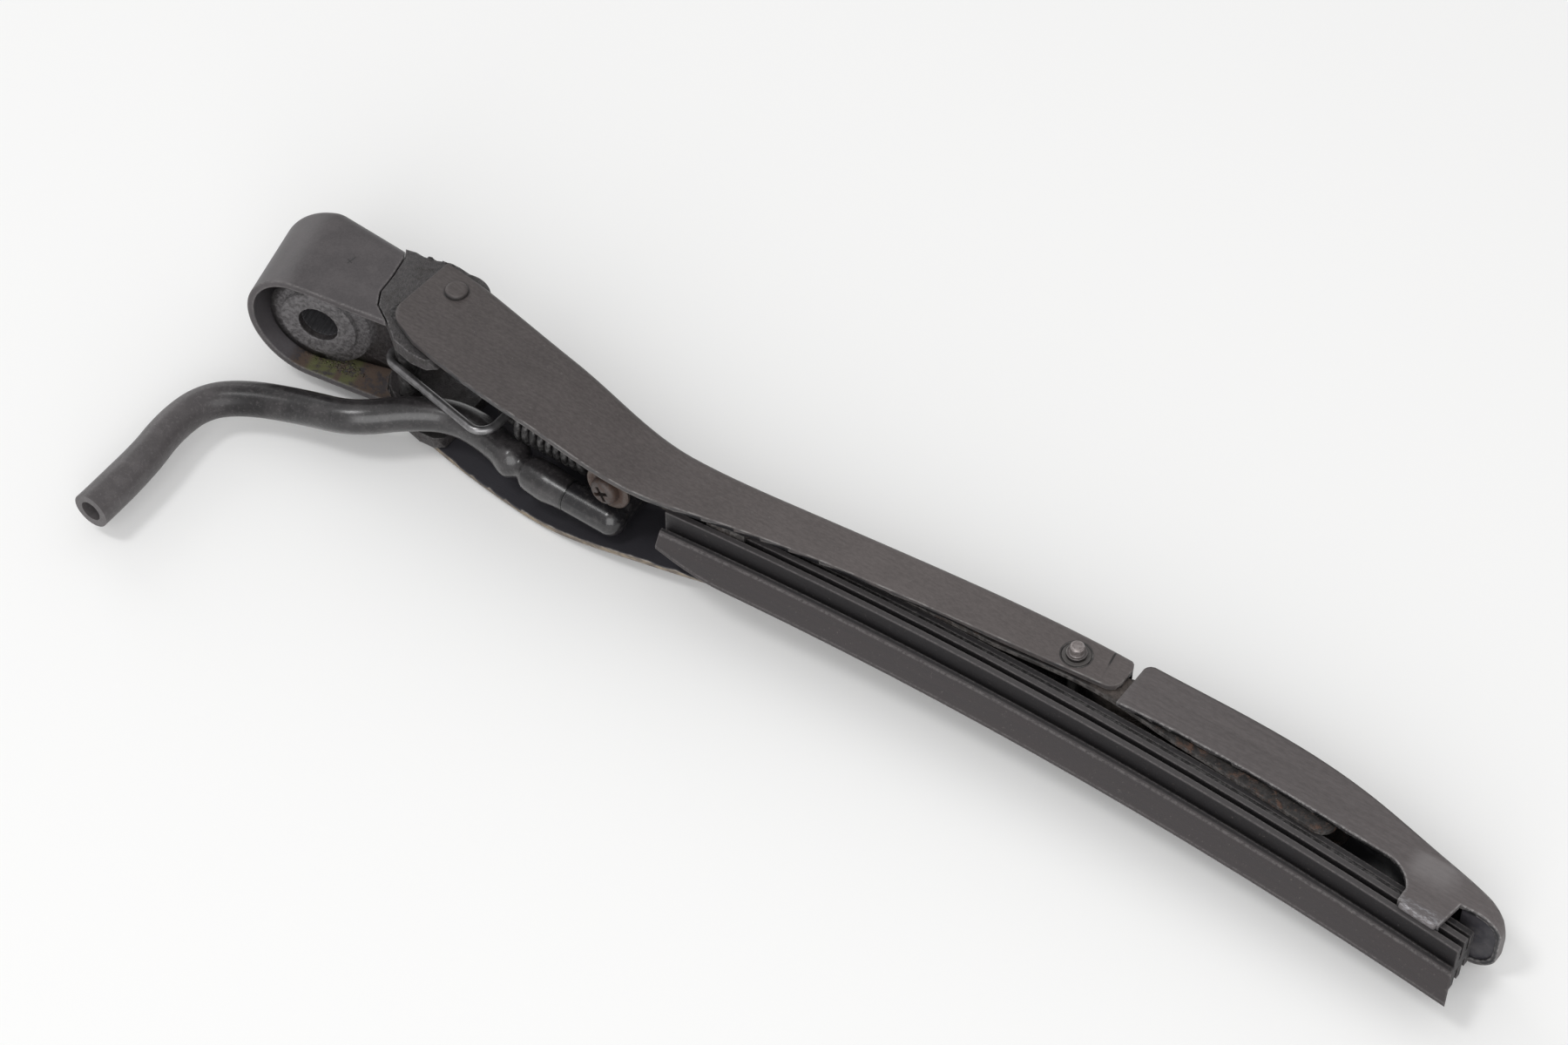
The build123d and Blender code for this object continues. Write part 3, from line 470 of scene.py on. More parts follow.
lightLook = {
    "surround": 0.575,
    "white": (1.0, 1.0, 1.0, 1.0),
    "aim": (0.1, -0.025, 0.0),
    "lamps": {
        "front": {"spot": (0.45, -1.60, 0.95), "size": 1.6, "power": 20.4},
        "over": {"spot": (-0.55, -0.45, 1.45), "size": 0.36, "power": 4.9},
        "left": {"spot": (-1.50, 1.20, 0.75), "size": 1.1, "power": 6.0},
    },
}
world = bpy.data.worlds.new("world")
bpy.context.scene.world = world
world.use_nodes = True
surround = world.node_tree.nodes["Background"].inputs
surround["Color"].default_value = lightLook["white"]
surround["Strength"].default_value = lightLook["surround"]
for name, look in lightLook["lamps"].items():
    lampData = bpy.data.lights.new(name, "AREA")
    lampData.shape = "RECTANGLE"
    lampData.size = lampData.size_y = look["size"]
    lampData.energy = look["power"]
    lamp = bpy.data.objects.new(name, lampData)
    bpy.context.scene.collection.objects.link(lamp)
    lamp.location = look["spot"]
    lamp.rotation_euler = (Vector(lightLook["aim"]) - Vector(look["spot"])).to_track_quat("-Z", "Y").to_euler()
print("floor and lights placed")

# Painted arm: worn satin paint with fine scuffs along it and a painted reflection that pales it towards the tip,
# a dark inside that is partly painted shade, chipped free edges
armLook = {
    "paint": (0.0415, 0.0340, 0.0332),
    "faded": (0.106, 0.0915, 0.0890),
    "speck": (0.15, 0.14, 0.135),
    "inside": (0.030, 0.0290, 0.0340),
    "upperRim": (0.040, 0.0385, 0.0400),
    "lowerRim": (0.230, 0.185, 0.130),
    "chip": (0.300, 0.286, 0.278),
    "gap": (0.010, 0.010, 0.010),
    "grain": ((0.06, 2.4, 2.4), 5.0, 0.7),
    "fine": ((1.1, 2.4, 2.4), 4.0, 0.7),
    "chips": ((0.45, 0.45, 1.6), 4.0, 0.65),
    "cloud": (0.09, 4.0, 0.6),
    "specks": (1.3, 2.0, 0.5),
    "uneven": (0.35, 0.7),
    "scuffed": (0.33, 0.68),
    "specked": (0.70, 0.76),
    "chipped": (0.42, 0.6),
    "sheenAlong": (20.0, 95.0),
    "fade": (0.5, 0.16, 0.16, 0.34),  # along the arm, by grain, by cloud and by fine scuffs
    "length": 140.0,
    "halfWidth": 12.5,
    "widths": [(0.0, 0.96), (0.18, 0.96), (0.27, 0.80), (0.37, 0.63), (0.936, 0.472), (1.0, 0.455)],
    "sheet": 1.25,
    "down": (0.55, 0.85),
    "inward": (-0.2, -0.6),
    "rimEdge": (0.0, 0.25),
    "innerEdge": (0.0, -0.3),
    "rimSides": (-1.0, 1.0),
    "rim": (0.3, 0.7),  # base and chips
    "score": (127.7, 0.16),  # place along the arm and lean
    "scoreWidth": (0.24, 0.08),
    "scoreSpan": ((0.2, 1.6), (-2.5, -1.5)),
    "scoreDepth": (0.8, 0.15),
    "pivot": (122.5, -0.4),
    "grooveRadius": 2.5,
    "grooveWidth": (0.24, 0.08),
    "grooveSide": (4.0, 5.0),
    "grooveDepth": 0.8,
    "rivetRadius": 2.06,
    "rivetWidth": (0.30, 0.06),
    "rivetDepth": 0.55,
    "edgeBand": (0.0005, 0.02, 0.12),
    "wornAlong": (3.0, 30.0),
    "worn": (0.1, 0.9),  # base and chips
    "speckAmount": 0.28,
    "wornAmount": 0.75,
    "rough": (0.44, 0.14, -0.1),  # base, cloud and inside
    "height": (0.55, 0.45),  # of grain and fine scuffs
    "relief": (0.16, 0.0003, 0.00035),
}
armShade = Shade("arm_paint")
armAlong, armHeight = armShade.armAxes()
armGrain = armShade.grain(armAlong, armHeight, *armLook["grain"])
armFine = armShade.grain(armAlong, armHeight, *armLook["fine"])
armChip = armShade.grain(armAlong, armHeight, *armLook["chips"]).ramp(*armLook["chipped"])
armCloud = armShade.noise(*armLook["cloud"])
# Painted reflection: the share along the arm pales the paint towards its tip; grain, cloud and fine scuffs are the
# paint's own uneven tone
armFadeAndSheen = weigh(
    armLook["fade"], armAlong.ramp(*armLook["sheenAlong"]), armGrain.ramp(*armLook["uneven"]),
    armCloud.ramp(*armLook["uneven"]), armFine.ramp(*armLook["scuffed"]),
)
armColour = armShade.mix(armFadeAndSheen, armLook["paint"], armLook["faded"])
armSpeck = armShade.noise(*armLook["specks"]).ramp(*armLook["specked"])
armColour = armShade.mix(armSpeck * armLook["speckAmount"], armColour, armLook["speck"])

# The rim is the sheet's own thickness; what lies further in is the inside, whose darker bluish colour is partly
# cleaner paint and partly painted shade
armDown = armShade.down().ramp(*armLook["down"])
armReach = armShade.curve(armAlong, armLook["length"], armLook["widths"]) * armLook["halfWidth"]
armSheet = armShade.side - armReach + armLook["sheet"]
armInner = armShade.outward().ramp(*armLook["inward"]).larger(armDown * armSheet.ramp(*armLook["innerEdge"]))
armColour = armShade.mix(armInner, armColour, armLook["inside"])
armBare = armShade.mix(armShade.z.ramp(*armLook["rimSides"]), armLook["lowerRim"], armLook["upperRim"])
armRim = armDown * armSheet.ramp(*armLook["rimEdge"])
armColour = armShade.mix(armRim * weigh(armLook["rim"], 1.0, armChip), armColour, armBare)

# Dark lines: a score beside the pivot, and painted shade in the groove round it and in the gap round each hinge
# rivet
armScoreSpan = weigh(armLook["scoreDepth"], *(armHeight.ramp(*span) for span in armLook["scoreSpan"]))
armScore = armAlong - armLook["score"][0] + armHeight * armLook["score"][1]
armScore = armScore.line(*armLook["scoreWidth"]) * armScoreSpan
armGrooveShade = (farFrom(armLook["pivot"], armAlong, armHeight) - armLook["grooveRadius"]).line(*armLook["grooveWidth"])
armGrooveShade = armGrooveShade * armShade.side.ramp(*armLook["grooveSide"]) * armLook["grooveDepth"]
armRivetShade = (farFrom((0.0, 0.0), armAlong, armHeight) - armLook["rivetRadius"]).line(*armLook["rivetWidth"])
armScoreAndShade = armScore.larger(armGrooveShade).larger(armRivetShade * armLook["rivetDepth"])
armColour = armShade.mix(armScoreAndShade, armColour, armLook["gap"])
armWorn = armShade.edges(*armLook["edgeBand"]) * weigh(armLook["worn"], 1.0, armChip)
armWorn = armWorn * armAlong.ramp(*armLook["wornAlong"])
armColour = armShade.mix(armWorn * armLook["wornAmount"], armColour, armLook["chip"])
armBump = armShade.bump(weigh(armLook["height"], armGrain, armFine), *armLook["relief"])
armFinish = armShade.finish(armColour, weigh(armLook["rough"], 1.0, armCloud, armInner), normal=armBump)
dress(armFinish, "arm_channel", "hinge_rivet_upper", "hinge_rivet_lower")

# Pivot bushes: the same paint with painted shade in the gap round the pin and round the bush
bushLook = {
    "paint": (0.058, 0.053, 0.051),
    "rubbed": (0.09, 0.083, 0.08),
    "gap": (0.006, 0.006, 0.006),
    "cloud": (1.5, 4.0, 0.55),
    "pits": (2.5, 4.0, 0.55),
    "pinGap": (1.75, 1.5),
    "outerGap": (2.26, 2.36),
    "rough": 0.48,
    "relief": (0.3, 0.0003, 0.0003),
}
bushShade = Shade("bush_paint")
bushFar = farFrom(armLook["pivot"], *bushShade.armAxes())
bushColour = bushShade.mix(bushShade.noise(*bushLook["cloud"]), bushLook["paint"], bushLook["rubbed"])
bushGapShade = bushFar.ramp(*bushLook["pinGap"]).larger(bushFar.ramp(*bushLook["outerGap"]))
bushColour = bushShade.mix(bushGapShade, bushColour, bushLook["gap"])
bushBump = bushShade.bump(bushShade.noise(*bushLook["pits"]), *bushLook["relief"])
dress(bushShade.finish(bushColour, bushLook["rough"], normal=bushBump), "pivot_bush_upper", "pivot_bush_lower")

# Tip shell: the same paint, glossier, with a polished claw, a painted reflection towards its nose, a painted
# highlight on its flare, painted shade inside and on its lower rim, and a bright lower edge that is partly wear and
# partly painted highlight
shellLook = {
    "paint": (0.070, 0.0610, 0.0608),
    "faded": (0.120, 0.106, 0.1058),
    "edge": (0.38, 0.368, 0.364),
    "claw": (0.30, 0.295, 0.31),
    "flare": (0.185, 0.172, 0.172),
    "inside": (0.018, 0.0176, 0.0200),
    "grain": ((0.05, 1.9, 1.9), 5.0, 0.7),
    "fine": ((0.8, 2.3, 2.3), 4.0, 0.7),
    "cloud": (0.12, 3.0, 0.55),
    "specks": (1.8, 4.0, 0.7),
    "uneven": (0.3, 0.72),
    "scuffed": (0.33, 0.68),
    "specked": (0.42, 0.6),
    "rubbed": (0.48, 0.62),
    "sheenAlong": (168.0, 196.0),
    "fade": (0.35, 0.4, 0.35),  # by grain, by fine scuffs and along the shell
    "flareAlong": ((181.5, 184.5), (192.0, 187.5)),
    "flareHeight": ((-0.9, -1.6), (-7.5, -3.5)),
    "flareAmount": (0.5, 0.4),  # base and fine scuffs
    "down": (0.35, 0.7),
    "inward": (-0.2, -0.6),
    "innerSide": (4.95, 4.75),
    "rimSide": (4.9, 5.1),
    "rimHeight": (-10.5, -9.5),
    "rimAmount": 0.75,
    "edgeBand": (0.0007, 0.03, 0.14),
    "wornHeight": (1.5, -1.0),
    "worn": (0.25, 0.75),  # base and specks
    "wornAmount": 0.8,
    "clawHeight": (-9.3, -10.4),
    "clawAlong": ((184.0, 185.2), (193.0, 191.0)),
    "polish": (0.12, 0.7),  # base and rubbed scuffs
    "rough": (0.38, 0.16, -0.08),  # base, cloud and polish
    "metal": 0.8,
    "height": (0.6, 0.4),  # of grain and specks
    "relief": (0.16, 0.0003, 0.0007),
}
shellShade = Shade("shell_paint")
shellAlong, shellHeight = shellShade.armAxes()
shellGrain = shellShade.grain(shellAlong, shellHeight, *shellLook["grain"])
shellFine = shellShade.grain(shellAlong, shellHeight, *shellLook["fine"])
shellCloud = shellShade.noise(*shellLook["cloud"])
shellSpeck = shellShade.noise(*shellLook["specks"])
# Painted reflection: the share along the shell pales it towards the nose; grain and fine scuffs are the paint's own
# uneven tone
shellFadeAndSheen = weigh(
    shellLook["fade"], shellGrain.ramp(*shellLook["uneven"]), shellFine.ramp(*shellLook["scuffed"]),
    shellAlong.ramp(*shellLook["sheenAlong"]),
)
shellColour = shellShade.mix(shellFadeAndSheen, shellLook["paint"], shellLook["faded"])
# Painted highlight: a paler band on the flare above the claw
shellFlareHighlight = shellAlong.within(*shellLook["flareAlong"]) * shellHeight.within(*shellLook["flareHeight"])
shellFlareHighlight = shellFlareHighlight * weigh(shellLook["flareAmount"], 1.0, shellFine)
shellColour = shellShade.mix(shellFlareHighlight, shellColour, shellLook["flare"])
# Painted shade: the inside of the shell and its downward-facing lower rim take a dark bluish colour
shellDown = shellShade.down().ramp(*shellLook["down"])
shellInnerShade = shellDown * shellShade.side.ramp(*shellLook["innerSide"])
shellInnerShade = shellShade.outward().ramp(*shellLook["inward"]).larger(shellInnerShade)
shellColour = shellShade.mix(shellInnerShade, shellColour, shellLook["inside"])
shellRimShade = shellDown * shellShade.side.ramp(*shellLook["rimSide"]) * shellHeight.ramp(*shellLook["rimHeight"])
shellColour = shellShade.mix(shellRimShade * shellLook["rimAmount"], shellColour, shellLook["inside"])
# The bright lower edge is partly wear and partly a painted highlight along the rolled lip
shellWornAndHighlight = shellShade.edges(*shellLook["edgeBand"]) * shellHeight.ramp(*shellLook["wornHeight"])
shellWornAndHighlight = shellWornAndHighlight * weigh(shellLook["worn"], 1.0, shellSpeck.ramp(*shellLook["specked"]))
shellColour = shellShade.mix(shellWornAndHighlight * shellLook["wornAmount"], shellColour, shellLook["edge"])
shellClaw = shellHeight.ramp(*shellLook["clawHeight"]) * shellAlong.within(*shellLook["clawAlong"])
shellPolish = shellClaw * weigh(shellLook["polish"], 1.0, shellFine.ramp(*shellLook["rubbed"]))
shellColour = shellShade.mix(shellPolish, shellColour, shellLook["claw"])
shellRough = weigh(shellLook["rough"], 1.0, shellCloud, shellPolish)
shellBump = shellShade.bump(weigh(shellLook["height"], shellGrain, shellSpeck), *shellLook["relief"])
shellFinish = shellShade.finish(shellColour, shellRough, shellPolish * shellLook["metal"], shellBump)
dress(shellFinish, "blade_tip_shell", "yoke_rivet_inner", "yoke_rivet_outer")

# Yoke: dull dark paint with rust and grit along its free edge
yokeLook = {
    "paint": (0.014, 0.0130, 0.0132),
    "dull": (0.038, 0.034, 0.0325),
    "rust": (0.092, 0.050, 0.034),
    "grit": (0.15, 0.132, 0.118),
    "dust": (0.150, 0.125, 0.112),
    "edge": (0.15, 0.14, 0.135),
    "pits": (0.9, 5.0, 0.7),
    "bloom": (0.5, 5.0, 0.75),
    "grains": (2.1, 3.0, 0.6),
    "uneven": (0.35, 0.7),
    "rusted": (0.5, 0.64),
    "gritty": (0.66, 0.72),
    "dusty": (0.35, 0.65),
    "bare": (0.45, 0.6),
    "outerEnd": (134.0, 148.0),
    "innerEnd": (112.0, 104.0),
    "where": (0.12, 0.8, 0.3),  # base, outer end and inner end
    "dustAlong": ((125.0, 128.5), (136.0, 133.0)),
    "dustHeight": (-4.0, -2.0),
    "dustAmount": (0.35, 0.5),  # base and pits
    "down": (0.4, 0.7),
    "edgeSide": (3.8, 4.0),
    "edgeAmount": (0.2, 0.5),  # base and pits
    "rough": (0.5, 0.3),  # base and rust
    "height": (0.6, 0.6, 0.3),  # of pits, grit and rust
    "relief": (0.6, 0.0004, 0.0003),
}
yokeShade = Shade("yoke_paint")
yokeAlong, yokeHeight = yokeShade.armAxes()
yokePits = yokeShade.noise(*yokeLook["pits"])
yokeColour = yokeShade.mix(yokePits.ramp(*yokeLook["uneven"]), yokeLook["paint"], yokeLook["dull"])
yokeEnds = yokeAlong.ramp(*yokeLook["outerEnd"]), yokeAlong.ramp(*yokeLook["innerEnd"])
yokeWhere = weigh(yokeLook["where"], 1.0, *yokeEnds)
yokeRust = yokeShade.noise(*yokeLook["bloom"]).ramp(*yokeLook["rusted"]) * yokeWhere
yokeColour = yokeShade.mix(yokeRust, yokeColour, yokeLook["rust"])
yokeGrit = yokeShade.noise(*yokeLook["grains"]).ramp(*yokeLook["gritty"]) * yokeWhere
yokeColour = yokeShade.mix(yokeGrit, yokeColour, yokeLook["grit"])
yokeDust = yokeAlong.within(*yokeLook["dustAlong"]) * yokeHeight.ramp(*yokeLook["dustHeight"])
yokeDust = yokeDust * weigh(yokeLook["dustAmount"], 1.0, yokePits.ramp(*yokeLook["dusty"]))
yokeColour = yokeShade.mix(yokeDust, yokeColour, yokeLook["dust"])
yokeEdge = yokeShade.down().ramp(*yokeLook["down"]) * yokeShade.side.ramp(*yokeLook["edgeSide"])
yokeEdge = yokeEdge * weigh(yokeLook["edgeAmount"], 1.0, yokePits.ramp(*yokeLook["bare"]))
yokeColour = yokeShade.mix(yokeEdge, yokeColour, yokeLook["edge"])
yokeBump = yokeShade.bump(weigh(yokeLook["height"], yokePits, yokeGrit, yokeRust), *yokeLook["relief"])
dress(yokeShade.finish(yokeColour, weigh(yokeLook["rough"], 1.0, yokeRust), normal=yokeBump), "blade_yoke")
print("arm and blade painted")

# Cap: smooth satin plastic, green and brown with grime on the inside of its lower wall, painted light on the inner
# wall of its rounded end, and paler edges that are partly wear and partly painted highlight
capLook = {
    "plastic": (0.0500, 0.0440, 0.0464),
    "faded": (0.0780, 0.0695, 0.0718),
    "moss": (0.122, 0.132, 0.058),
    "grime": (0.105, 0.076, 0.060),
    "inside": (0.125, 0.117, 0.124),
    "worn": (0.260, 0.248, 0.244),
    "cut": (0.012, 0.012, 0.012),
    "cloud": (0.25, 4.0, 0.6),
    "fine": (2.4, 4.0, 0.6),
    "growth": (0.55, 5.0, 0.7),
    "uneven": (0.35, 0.7),
    "scuffed": (0.33, 0.68),
    "grimy": (0.40, 0.52),
    "mossy": (0.36, 0.56),
    "rubbed": (0.4, 0.62),
    "fade": (0.6, 0.4),  # of cloud and fine scuffs
    "insideFace": (0.1, 0.5),
    "insideAlong": (-3.0, -7.0),
    "insideAmount": (0.5, 0.5),  # base and fine scuffs
    "lowFace": (0.4, 0.8),
    "lowWall": (-8.6, -9.2),
    "lowDepth": (2.4, 1.4),
    "patches": [((-3.2, -1.6), (3.2, 2.4)), ((3.6, 4.3), (7.2, 5.8))],
    "mossAmount": 0.85,
    # Cuts in the upper wall: middle, aim and half length
    "cuts": [((4.35, 5.6), (0.379, 0.925), 1.2), ((4.15, 5.3), (0.85, -0.53), 0.7)],
    "cutWidth": (0.15, 0.05),
    "cutTaper": 0.7,
    "cutFace": (0.7, 0.9),
    "cutWall": (9.5, 10.4),
    "cutDepth": 0.8,
    "edgeBand": (0.0008, 0.015, 0.14),
    "wear": (0.3, 0.7),  # base and fine scuffs
    "wornAmount": 0.55,
    "rough": (0.40, 0.14),  # base and cloud
    "height": (0.6, 2.0),  # of fine scuffs and growth
    "relief": (0.18, 0.0004, 0.0004),
}
capShade = Shade("cap_plastic")
capCloud = capShade.noise(*capLook["cloud"])
capFine = capShade.noise(*capLook["fine"])
capFade = weigh(capLook["fade"], capCloud.ramp(*capLook["uneven"]), capFine.ramp(*capLook["scuffed"]))
capColour = capShade.mix(capFade, capLook["plastic"], capLook["faded"])
# Painted light: the inner wall at the cap's rounded end is made paler
capInsideLight = capShade.normalX.ramp(*capLook["insideFace"]) * capShade.x.ramp(*capLook["insideAlong"])
capInsideLight = capInsideLight * weigh(capLook["insideAmount"], 1.0, capFine)
capColour = capShade.mix(capInsideLight, capColour, capLook["inside"])
capLow = capShade.normalZ.ramp(*capLook["lowFace"]) * capShade.z.ramp(*capLook["lowWall"])
capLow = capLow * capShade.y.ramp(*capLook["lowDepth"])
capGrow = capShade.noise(*capLook["growth"])
capColour = capShade.mix(capLow * capGrow.ramp(*capLook["grimy"]), capColour, capLook["grime"])
capFirst, capSecond = (capShade.x.within(*patch) for patch in capLook["patches"])
capMoss = capLow * capGrow.ramp(*capLook["mossy"]) * capFirst.larger(capSecond)
capColour = capShade.mix(capMoss * capLook["mossAmount"], capColour, capLook["moss"])


def capCut(middle, aim, half):
    # A short cut in the cap's upper wall
    dx, dy = capShade.x - middle[0], capShade.y - middle[1]
    beside = (dx * aim[1] - dy * aim[0]).line(*capLook["cutWidth"])
    return beside * (dx * aim[0] + dy * aim[1]).line(half, half * capLook["cutTaper"])


capLong, capShort = (capCut(*cut) for cut in capLook["cuts"])
capMark = capShade.normalZ.ramp(*capLook["cutFace"]) * capShade.z.ramp(*capLook["cutWall"])
capMark = capMark * capLong.larger(capShort) * capLook["cutDepth"]
capColour = capShade.mix(capMark, capColour, capLook["cut"])
# Paler edges: partly wear and partly a painted highlight along the rim
capWornAndHighlight = capShade.edges(*capLook["edgeBand"]) * weigh(capLook["wear"], 1.0, capFine.ramp(*capLook["rubbed"]))
capColour = capShade.mix(capWornAndHighlight * capLook["wornAmount"], capColour, capLook["worn"])
capBump = capShade.bump(weigh(capLook["height"], capFine, capLow * capGrow), *capLook["relief"])
dress(capShade.finish(capColour, weigh(capLook["rough"], 1.0, capCloud), normal=capBump), "head_cap")

# Head casting: rough dark coated metal, paler where it is rubbed, with painted light on the boss's face,
# painted shade in its closed places and edges that are partly worn and partly painted highlight
castLook = {
    "coat": (0.022, 0.0192, 0.0198),
    "rubbed": (0.060, 0.0535, 0.0548),
    "dirt": (0.024, 0.0205, 0.0185),
    "worn": (0.260, 0.250, 0.255),
    "face": (0.165, 0.157, 0.161),
    "gap": (0.010, 0.009, 0.009),
    "pits": (1.5, 6.0, 0.72),
    "soil": (0.33, 5.0, 0.65),
    "uneven": (0.36, 0.68),
    "soiled": (0.5, 0.66),
    "facePits": (0.38, 0.62),
    "wornPits": (0.42, 0.6),
    "dirtAmount": 0.7,
    "bossTurn": (-0.4, -0.8),
    "bossReach": (100.0, 81.0),  # square of the distance from the spindle's axis
    "bossAmount": (0.25, 0.65),  # base and pits
    "open": {"Distance": 0.0016},
    "openSamples": 6,
    "closed": (0.85, 0.45),
    "gapAmount": 0.8,
    "bare": (0.7, 0.95),
    "edgeBand": (0.00055, 0.02, 0.14),
    "wear": (0.15, 0.85),  # base and pits
    "wornAmount": 0.7,
    "rough": (0.34, 0.26, -0.06),  # base, dirt and wear
    "relief": (0.7, 0.0005, 0.0004),
}
castShade = Shade("head_metal")
castPits = castShade.noise(*castLook["pits"])
castDirt = castShade.noise(*castLook["soil"]).ramp(*castLook["soiled"])
castColour = castShade.mix(castPits.ramp(*castLook["uneven"]), castLook["coat"], castLook["rubbed"])
castColour = castShade.mix(castDirt * castLook["dirtAmount"], castColour, castLook["dirt"])
# Painted light: the boss's face, which looks along -Y, is made paler
castFaceLight = (castShade.x ** 2.0 + castShade.z ** 2.0).ramp(*castLook["bossReach"])
castFaceLight = castFaceLight * castShade.normalY.ramp(*castLook["bossTurn"])
castFaceLight = castFaceLight * weigh(castLook["bossAmount"], 1.0, castPits.ramp(*castLook["facePits"]))
castColour = castShade.mix(castFaceLight, castColour, castLook["face"])
# Painted shade: ambient occlusion darkens the casting's closed places towards the gap colour
castOcclusion = castShade.make(
    "ShaderNodeAmbientOcclusion", castLook["open"], out="AO", samples=castLook["openSamples"]
)
castColour = castShade.mix(castOcclusion.ramp(*castLook["closed"]) * castLook["gapAmount"], castColour, castLook["gap"])
# Paler edges in open places: partly wear and partly a painted highlight on the boss's rings and edges
castWornAndHighlight = castOcclusion.ramp(*castLook["bare"]) * castShade.edges(*castLook["edgeBand"])
castWornAndHighlight = castWornAndHighlight * weigh(castLook["wear"], 1.0, castPits.ramp(*castLook["wornPits"]))
castColour = castShade.mix(castWornAndHighlight * castLook["wornAmount"], castColour, castLook["worn"])
castBump = castShade.bump(castPits, *castLook["relief"])
castFinish = castShade.finish(castColour, weigh(castLook["rough"], 1.0, castDirt, castWornAndHighlight), normal=castBump)
dress(castFinish, "head_casting")
print("head finished")

# Dark steel: coil, pin, post and the rubber's rails
darkLook = {
    "dark": (0.030, 0.0288, 0.029),
    "rubbed": (0.115, 0.111, 0.111),
    "cloud": (1.2, 4.0, 0.6),
    "pits": (2.5, 4.0, 0.55),
    "uneven": (0.4, 0.7),
    "rough": (0.34, 0.2),  # base and cloud
    "metal": 0.7,
    "relief": (0.25, 0.0003),
}
# Wire link: drawn spring steel, smooth and shiny
wireLook = {
    "dark": (0.190, 0.186, 0.190),
    "rubbed": (0.260, 0.255, 0.260),
    "cloud": (0.7, 3.0, 0.5),
    "pits": (2.2, 3.0, 0.55),
    "uneven": (0.42, 0.66),
    "rough": (0.22, 0.14),
    "metal": 0.8,
    "relief": (0.08, 0.0003),
}


def steelFinish(name, look):
    steelShade = Shade(name)
    steelCloud = steelShade.noise(*look["cloud"])
    steelColour = steelShade.mix(steelCloud.ramp(*look["uneven"]), look["dark"], look["rubbed"])
    steelBump = steelShade.bump(steelShade.noise(*look["pits"]), *look["relief"])
    return steelShade.finish(steelColour, weigh(look["rough"], 1.0, steelCloud), look["metal"], steelBump)


darkFinish = steelFinish("dark_steel", darkLook)
dress(darkFinish, "tension_spring", "head_pin", "spring_post", "rail_upper", "rail_lower")
dress(steelFinish("wire_steel", wireLook), "spring_link")

# Screw and washer: steel with a brown bloom of rust, deepest round the screw's head
screwLook = {
    "middle": (41.8, 3.4),  # along the arm and across it
    "steel": (0.085, 0.073, 0.070),
    "washer": (0.105, 0.084, 0.074),
    "rust": (0.052, 0.029, 0.021),
    "bloom": (0.9, 5.0, 0.7),
    "rusted": (0.45, 0.62),
    "rustAmount": 0.8,
    "ring": ((3.7, 3.0), (2.0, 2.5)),
    "ringRust": (0.3, 0.5),
    "head": (2.6, 2.9),
    "rough": (0.36, 0.35),  # base and rust
    "metal": (0.7, -0.6),  # base and rust
    "relief": (0.4, 0.0003, 0.0002),
}
screwShade = Shade("bare_steel")
screwFar = farFrom(screwLook["middle"], screwShade.armAxes()[0], screwShade.z)
screwBloom = screwShade.noise(*screwLook["bloom"])
screwRing = screwFar.within(*screwLook["ring"]) * screwBloom.ramp(*screwLook["ringRust"])
screwRust = (screwBloom.ramp(*screwLook["rusted"]) * screwLook["rustAmount"]).larger(screwRing)
screwColour = screwShade.mix(screwFar.ramp(*screwLook["head"]), screwLook["steel"], screwLook["washer"])
screwColour = screwShade.mix(screwRust, screwColour, screwLook["rust"])
screwFinish = screwShade.finish(
    screwColour, weigh(screwLook["rough"], 1.0, screwRust), weigh(screwLook["metal"], 1.0, screwRust),
    screwShade.bump(screwBloom, *screwLook["relief"]),
)
dress(screwFinish, "jet_screw", "jet_washer")

# Blade pivot pin: bare steel with a bright rim and a dark collar
pinLook = {
    "dull": (0.190, 0.165, 0.162),
    "bright": (0.33, 0.298, 0.292),
    "worn": (0.70, 0.66, 0.65),
    "collar": (0.034, 0.031, 0.0305),
    "cloud": (1.5, 5.0, 0.7),
    "uneven": (0.35, 0.65),
    "edgeBand": (0.00025, 0.04, 0.2),
    "collarSide": (7.13, 7.03),
    "rough": 0.34,
    "metal": 0.6,
    "relief": (0.2, 0.0003, 0.0003),
}
pinShade = Shade("pin_steel")
pinCloud = pinShade.noise(*pinLook["cloud"])
pinColour = pinShade.mix(pinCloud.ramp(*pinLook["uneven"]), pinLook["dull"], pinLook["bright"])
pinColour = pinShade.mix(pinShade.edges(*pinLook["edgeBand"]), pinColour, pinLook["worn"])
pinColour = pinShade.mix(pinShade.side.ramp(*pinLook["collarSide"]), pinColour, pinLook["collar"])
pinBump = pinShade.bump(pinCloud, *pinLook["relief"])
dress(pinShade.finish(pinColour, pinLook["rough"], pinLook["metal"], pinBump), "blade_pivot_pin")

# Jet: glossy black plastic
jetLook = {
    "plastic": (0.013, 0.0122, 0.0136),
    "scuffed": (0.050, 0.046, 0.046),
    "cloud": (0.7, 5.0, 0.65),
    "pits": (1.1, 3.0, 0.55),
    "uneven": (0.46, 0.7),
    "scuffs": 0.7,
    "rough": (0.17, 0.14),  # base and cloud
    "coat": 0.9,
    "coatRough": 0.22,
    "specular": 0.2,
    "relief": (0.05, 0.0004, 0.0005),
}
jetShade = Shade("jet_plastic")
jetCloud = jetShade.noise(*jetLook["cloud"])
jetScuffs = jetCloud.ramp(*jetLook["uneven"]) * jetLook["scuffs"]
jetFinish = jetShade.finish(
    jetShade.mix(jetScuffs, jetLook["plastic"], jetLook["scuffed"]), weigh(jetLook["rough"], 1.0, jetCloud),
    normal=jetShade.bump(jetShade.noise(*jetLook["pits"]), *jetLook["relief"]), coat=jetLook["coat"],
    Coat_Roughness=jetLook["coatRough"], Specular_IOR_Level=jetLook["specular"],
)
dress(jetFinish, "washer_jet")

